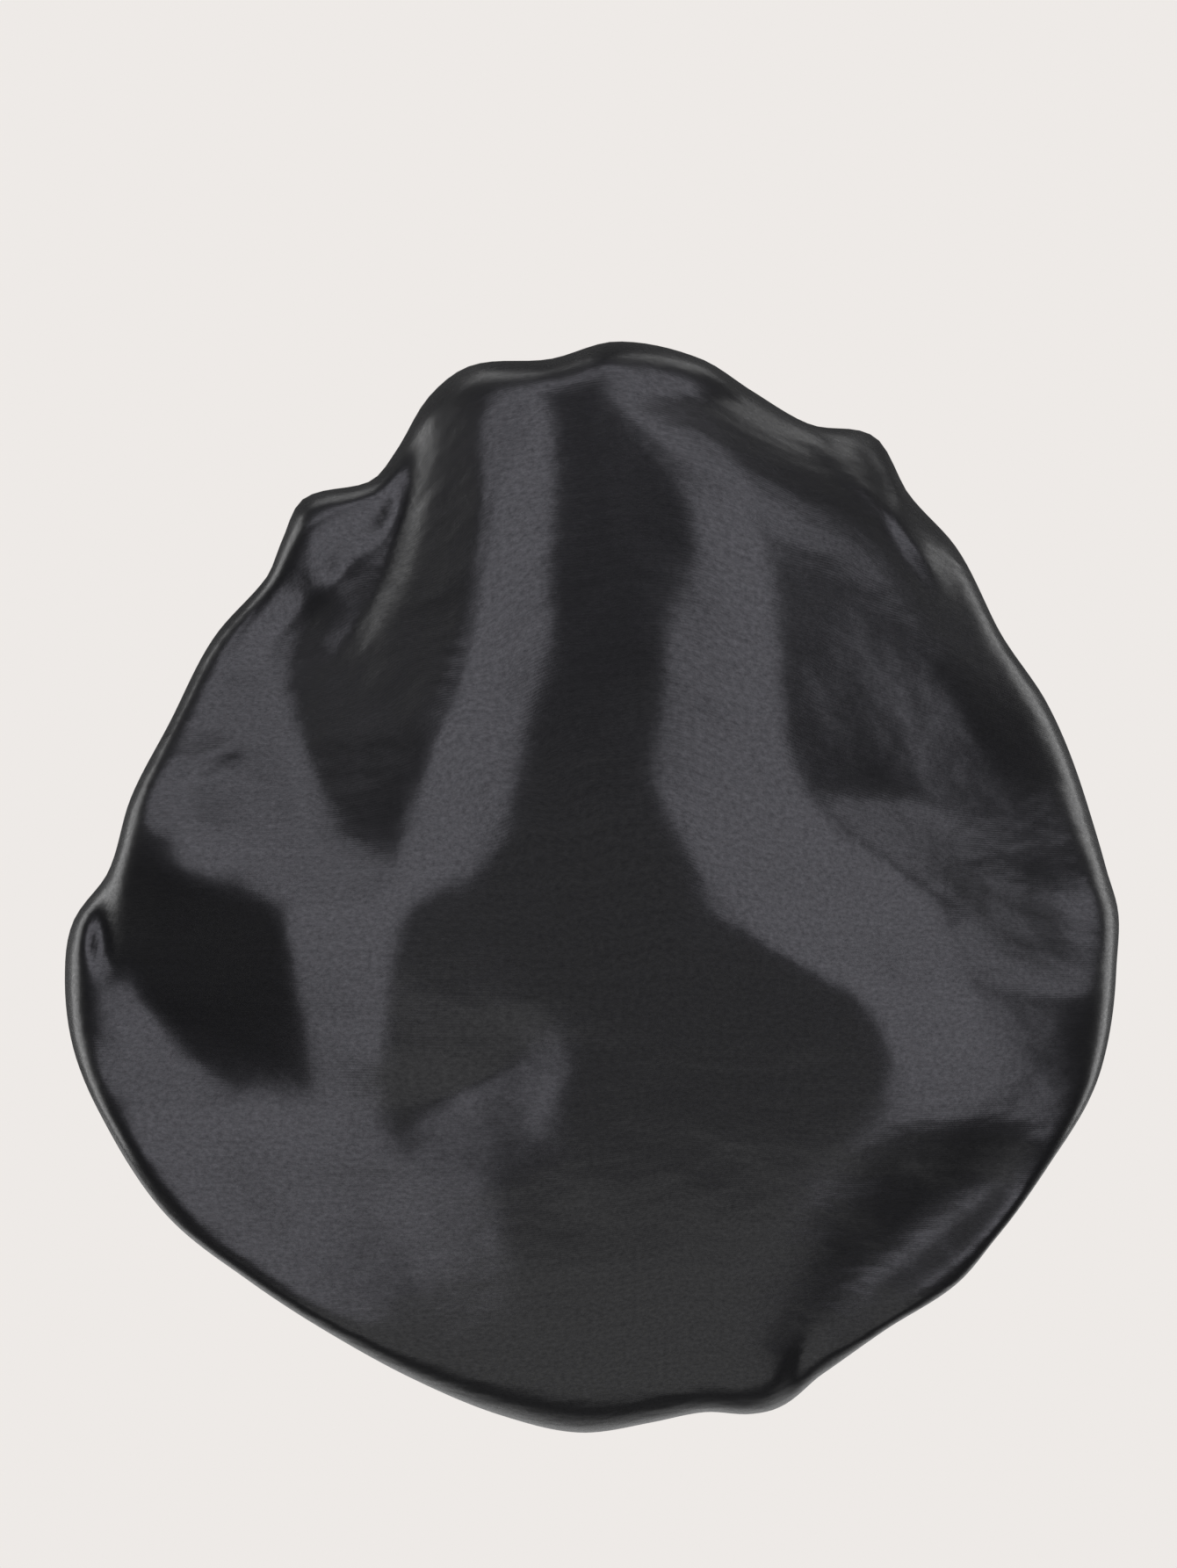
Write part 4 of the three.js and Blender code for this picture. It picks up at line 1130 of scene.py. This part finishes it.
class MakeBand(bpy.types.Operator):
    """Makes the band's folded satin strip and the elastic inside it"""

    bl_idname = "bonnet.make_band"
    bl_label = "Make Band"

    def execute(self, context):
        band, crown = context.scene.bonnet_band, context.scene.bonnet_crown
        turn = turns(BAND_COLUMNS)
        points = band_point(turn[None], *self.section(turn, band))
        steps = np.linalg.norm(np.diff(points, axis=0), axis=-1).mean(1)
        length = np.concatenate([[0], np.cumsum(steps)])
        _, lap = travel_turn(0.0)
        flat = np.stack(np.meshgrid(np.linspace(0, lap, BAND_COLUMNS + 1), length), -1)
        mesh = grid_mesh("band_satin", closed(points), flat)
        casing = put_in_scene("band_satin", mesh, satin_material("band satin", crown))
        thicken(casing, crown.cloth)
        ride_band(casing, "satin", "band_casing")
        self.make_elastic(lap)
        return {"FINISHED"}

    def section(self, turn, band):
        """Out and up of the folded strip, ring by ring: down the outer wall, round the fold and up inside."""
        middle, radius = (BAND_THICKNESS + CASING_IN) / 2, (BAND_THICKNESS - CASING_IN) / 2
        bend = math.pi * np.arange(1, FOLD_RINGS) / FOLD_RINGS
        wall = np.linspace(BAND_TOP, FOLD_UP, WALL_RINGS)
        outer, inner = np.full(WALL_RINGS, BAND_THICKNESS), np.full(WALL_RINGS, CASING_IN)
        out = np.concatenate([outer, middle + radius * np.cos(bend), inner])[:, None]
        up = np.concatenate([wall, FOLD_UP - radius * np.sin(bend), wall[::-1]])[:, None]
        side = np.sign(out - middle) * np.minimum(1, np.abs(out - middle) / radius)
        phase = add_waves(band.puffs * turn, turn, PUFF_DRIFTS)
        puff = ridges(phase + 0.5 * np.sin(3 * turn) * up / BAND_TOP, *PUFF_RIDGE)
        below = mix(PUFF_SHARE_AT_FOLD, 1.0, smooth((up - FOLD_UP) / PUFF_FADE_AT_FOLD))
        below = smooth((TOPSTITCH_UP - up) / PUFF_FADE) * below
        above = smooth((up - TOPSTITCH_UP) / PUFF_FADE_AT_EDGE) * smooth((BAND_TOP - up) / PUFF_FADE_AT_EDGE)
        from_join = turn - CENTRE_BACK
        away = np.abs(np.arctan2(np.sin(from_join), np.cos(from_join))) * HEAD_HALF_WIDTH
        join = smooth((away - JOIN_HALF) / JOIN_FADE)
        height = band.ruche * mix(PUFF_SHARE_INSIDE, 1.0, side > 0) * side
        return out + height * puff * (below + PUFF_SHARE_ABOVE * above) * join, up

    def make_elastic(self, lap):
        middle, half = (ELASTIC_OUT, ELASTIC_UP), (ELASTIC_HALF_THICKNESS, ELASTIC_WIDTH / 2)
        points = band_point(*rounded_bar(turns(TUBE_COLUMNS), ELASTIC_SIDES, middle, half))
        ribbed = woven_material("ribbed elastic", ELASTIC_COLOURS, ELASTIC_WEAVE, 0.8)
        travel = np.linspace(0, lap, TUBE_COLUMNS + 1)
        elastic = tube_piece("elastic", points, travel, 2 * ELASTIC_WIDTH, ribbed)
        ride_band(elastic, "elastic", "band_elastic")


class MakeSeam(bpy.types.Operator):
    """Makes the trimmed edges inside the seam and the threads that wrap and gather them"""

    bl_idname = "bonnet.make_seam"
    bl_label = "Make Seam"

    def execute(self, context):
        band, crown = context.scene.bonnet_band, context.scene.bonnet_crown
        middle = ALLOWANCE_OUT, ALLOWANCE_UP
        turn, out, up = rounded_bar(turns(TUBE_COLUMNS), ALLOWANCE_SIDES, middle, ALLOWANCE_HALF)
        wave = RUFFLE_HEIGHT * np.sin(RUFFLES * turn + np.sin(9 * turn))
        ruffle = wave * (up - BAND_TOP) / (2 * ALLOWANCE_HALF[1])
        points = band_point(turn, out + ruffle, up)
        _, lap = travel_turn(0.0)
        travel = np.linspace(0, lap, TUBE_COLUMNS + 1)
        satin = satin_material("edge satin", crown)
        edges = tube_piece("trimmed_edges", points, travel, ALLOWANCE_GIRTH, satin)
        ride_band(edges, "satin", "seam_allowance")
        thread = thread_material()
        self.make_overlock(band, thread)
        self.make_gathering(thread)
        return {"FINISHED"}

    def make_overlock(self, band, thread):
        turn = turns(band.loops * LOOP_STEPS)
        c, s = np.cos(band.loops * turn), np.sin(band.loops * turn)
        path = band_point(turn, ALLOWANCE_OUT + OVERLOCK_HALF[0] * c, OVERLOCK_UP + OVERLOCK_HALF[1] * s)
        away = c[:, None] * band_outward(turn) + s[:, None] * CROWNWARD
        points = round_tube(path, away, band.fine_thread, OVERLOCK_SIDES)
        travel = np.linspace(0, 2 * band.loops, len(turn) + 1)
        ride_band(tube_piece("overlock", points, travel, 1, thread), "thread", "overlock_thread")

    def make_gathering(self, thread):
        turn = turns(2 * BAND_COLUMNS)
        up = GATHERING_UP + GATHERING_WAVE * np.sin(GATHERING_WAVES * turn)
        path = band_point(turn, GATHERING_OUT, up)
        points = round_tube(path, band_outward(turn), GATHERING_RADIUS, GATHERING_SIDES)
        travel = np.linspace(0, GATHERING_WAVES, len(turn) + 1)
        ride_band(tube_piece("gathering", points, travel, 1, thread), "thread", "gathering_thread")


class MakeStitches(bpy.types.Operator):
    """Makes the band's topstitching, its join seam and the elastic's zigzag"""

    bl_idname = "bonnet.make_stitches"
    bl_label = "Make Stitches"

    def execute(self, context):
        band = context.scene.bonnet_band
        _, lap = travel_turn(0.0)
        outer = BAND_THICKNESS + STITCH_OUT
        starts = np.arange(band.stitches) * (lap / band.stitches)
        row = [((start, TOPSTITCH_UP, outer), (start + band.stitch, TOPSTITCH_UP, outer)) for start in starts]
        column = [((0, low, outer), (0, low + JOIN_STITCH, outer)) for low in JOIN_UPS]
        sides = ZIGZAG_HALF_WIDTH * (-1.0) ** np.arange(1, len(ZIGZAG_UPS) + 1)
        corners = [(side, up, ELASTIC_OUT + ZIGZAG_OUT) for side, up in zip(sides, ZIGZAG_UPS)]
        thread = thread_material()
        for name, stitches, node in (
            ("topstitching", row, "topstitch_thread"),
            ("band_join", column, "band_join_stitching"),
            ("elastic_join", list(zip(corners, corners[1:])), "elastic_join_stitching"),
        ):
            piece = stitch_piece(name, stitches, band.thread, place_on_band, thread)
            ride_band(piece, "thread", node)
        return {"FINISHED"}


class MakeLabel(bpy.types.Operator):
    """Makes the blank woven label and the stitches that hold its upper edge"""

    bl_idname = "bonnet.make_label"
    bl_label = "Make Label"

    def execute(self, context):
        band = context.scene.bonnet_band
        shape = bmesh.new()
        bmesh.ops.create_grid(shape, x_segments=LABEL_STEPS[0], y_segments=LABEL_STEPS[1], size=0.5)
        mesh, flat = mesh_points("blank_label", shape)
        across, down = flat[:, 0] * band.label_width, (0.5 - flat[:, 1]) * band.label_length
        bend = np.sin(down / band.label_length * math.pi * LABEL_BENDS)
        curl = LABEL_CURL * bend * np.cos(across * LABEL_CUP)
        set_points(mesh, self.place(np.stack([across, LABEL_TOP - down, curl], -1)))
        set_cloth_map(mesh, np.stack([across, -down], -1))
        tape = woven_material("label tape", LABEL_COLOURS, LABEL_WEAVE, 0.35)
        label = put_in_scene("blank_label", mesh, tape)
        thicken(label, band.label_cloth, 0.0)
        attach(label, "label")
        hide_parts("care_label")
        self.make_tack()
        return {"FINISHED"}

    def place(self, flat):
        """Place of a flat point of the label: across, up, and towards the wearer's head."""
        return flat[:, :1] * ACROSS + flat[:, 1:2] * CROWNWARD + (LABEL_ALONG + flat[:, 2:3]) * ALONG

    def make_tack(self):
        """Whip stitches over the label's upper edge into the casing's inner wall."""
        stitches = []
        for across in TACK_ACROSS:
            wall = -HEAD_HALF_LENGTH * math.sqrt(1 - (across / HEAD_HALF_WIDTH) ** 2) - LABEL_ALONG
            start = across, LABEL_TOP + TACK_START[0], TACK_START[1]
            stitches.append((start, (across, LABEL_TOP + TACK_END_UP, wall)))
        tack = stitch_piece("label_tack", stitches, TACK_RADIUS, self.place, thread_material())
        ride_band(tack, "thread", "label_stitching")


class BonnetPanel(bpy.types.Panel):
    """Lists the bonnet's pieces"""

    bl_idname = "VIEW3D_PT_bonnet"
    bl_label = "Hair Bonnet"
    bl_space_type = "VIEW_3D"
    bl_region_type = "UI"
    bl_category = "Bonnet"

    def draw(self, context):
        for operator in OPERATORS:
            self.layout.operator(operator.bl_idname)


SETTINGS = {"bonnet_crown": CrownSettings, "bonnet_band": BandSettings, "bonnet_stage": StageSettings}
OPERATORS = (MakeStage, MakeCrown, MakeLining, MakeBand, MakeSeam, MakeStitches, MakeLabel)


def register():
    for kind in (*SETTINGS.values(), *OPERATORS, BonnetPanel):
        bpy.utils.register_class(kind)
    for name, kind in SETTINGS.items():
        setattr(bpy.types.Scene, name, PointerProperty(type=kind))


def unregister():
    for name in SETTINGS:
        delattr(bpy.types.Scene, name)
    for kind in (BonnetPanel, *reversed(OPERATORS), *SETTINGS.values()):
        bpy.utils.unregister_class(kind)


def main():
    register()
    bpy.ops.bonnet.make_stage()
    bpy.ops.bonnet.make_crown()
    bpy.ops.bonnet.make_lining()
    bpy.ops.bonnet.make_band()
    bpy.ops.bonnet.make_seam()
    bpy.ops.bonnet.make_stitches()
    bpy.ops.bonnet.make_label()


if __name__ == "__main__":
    main()
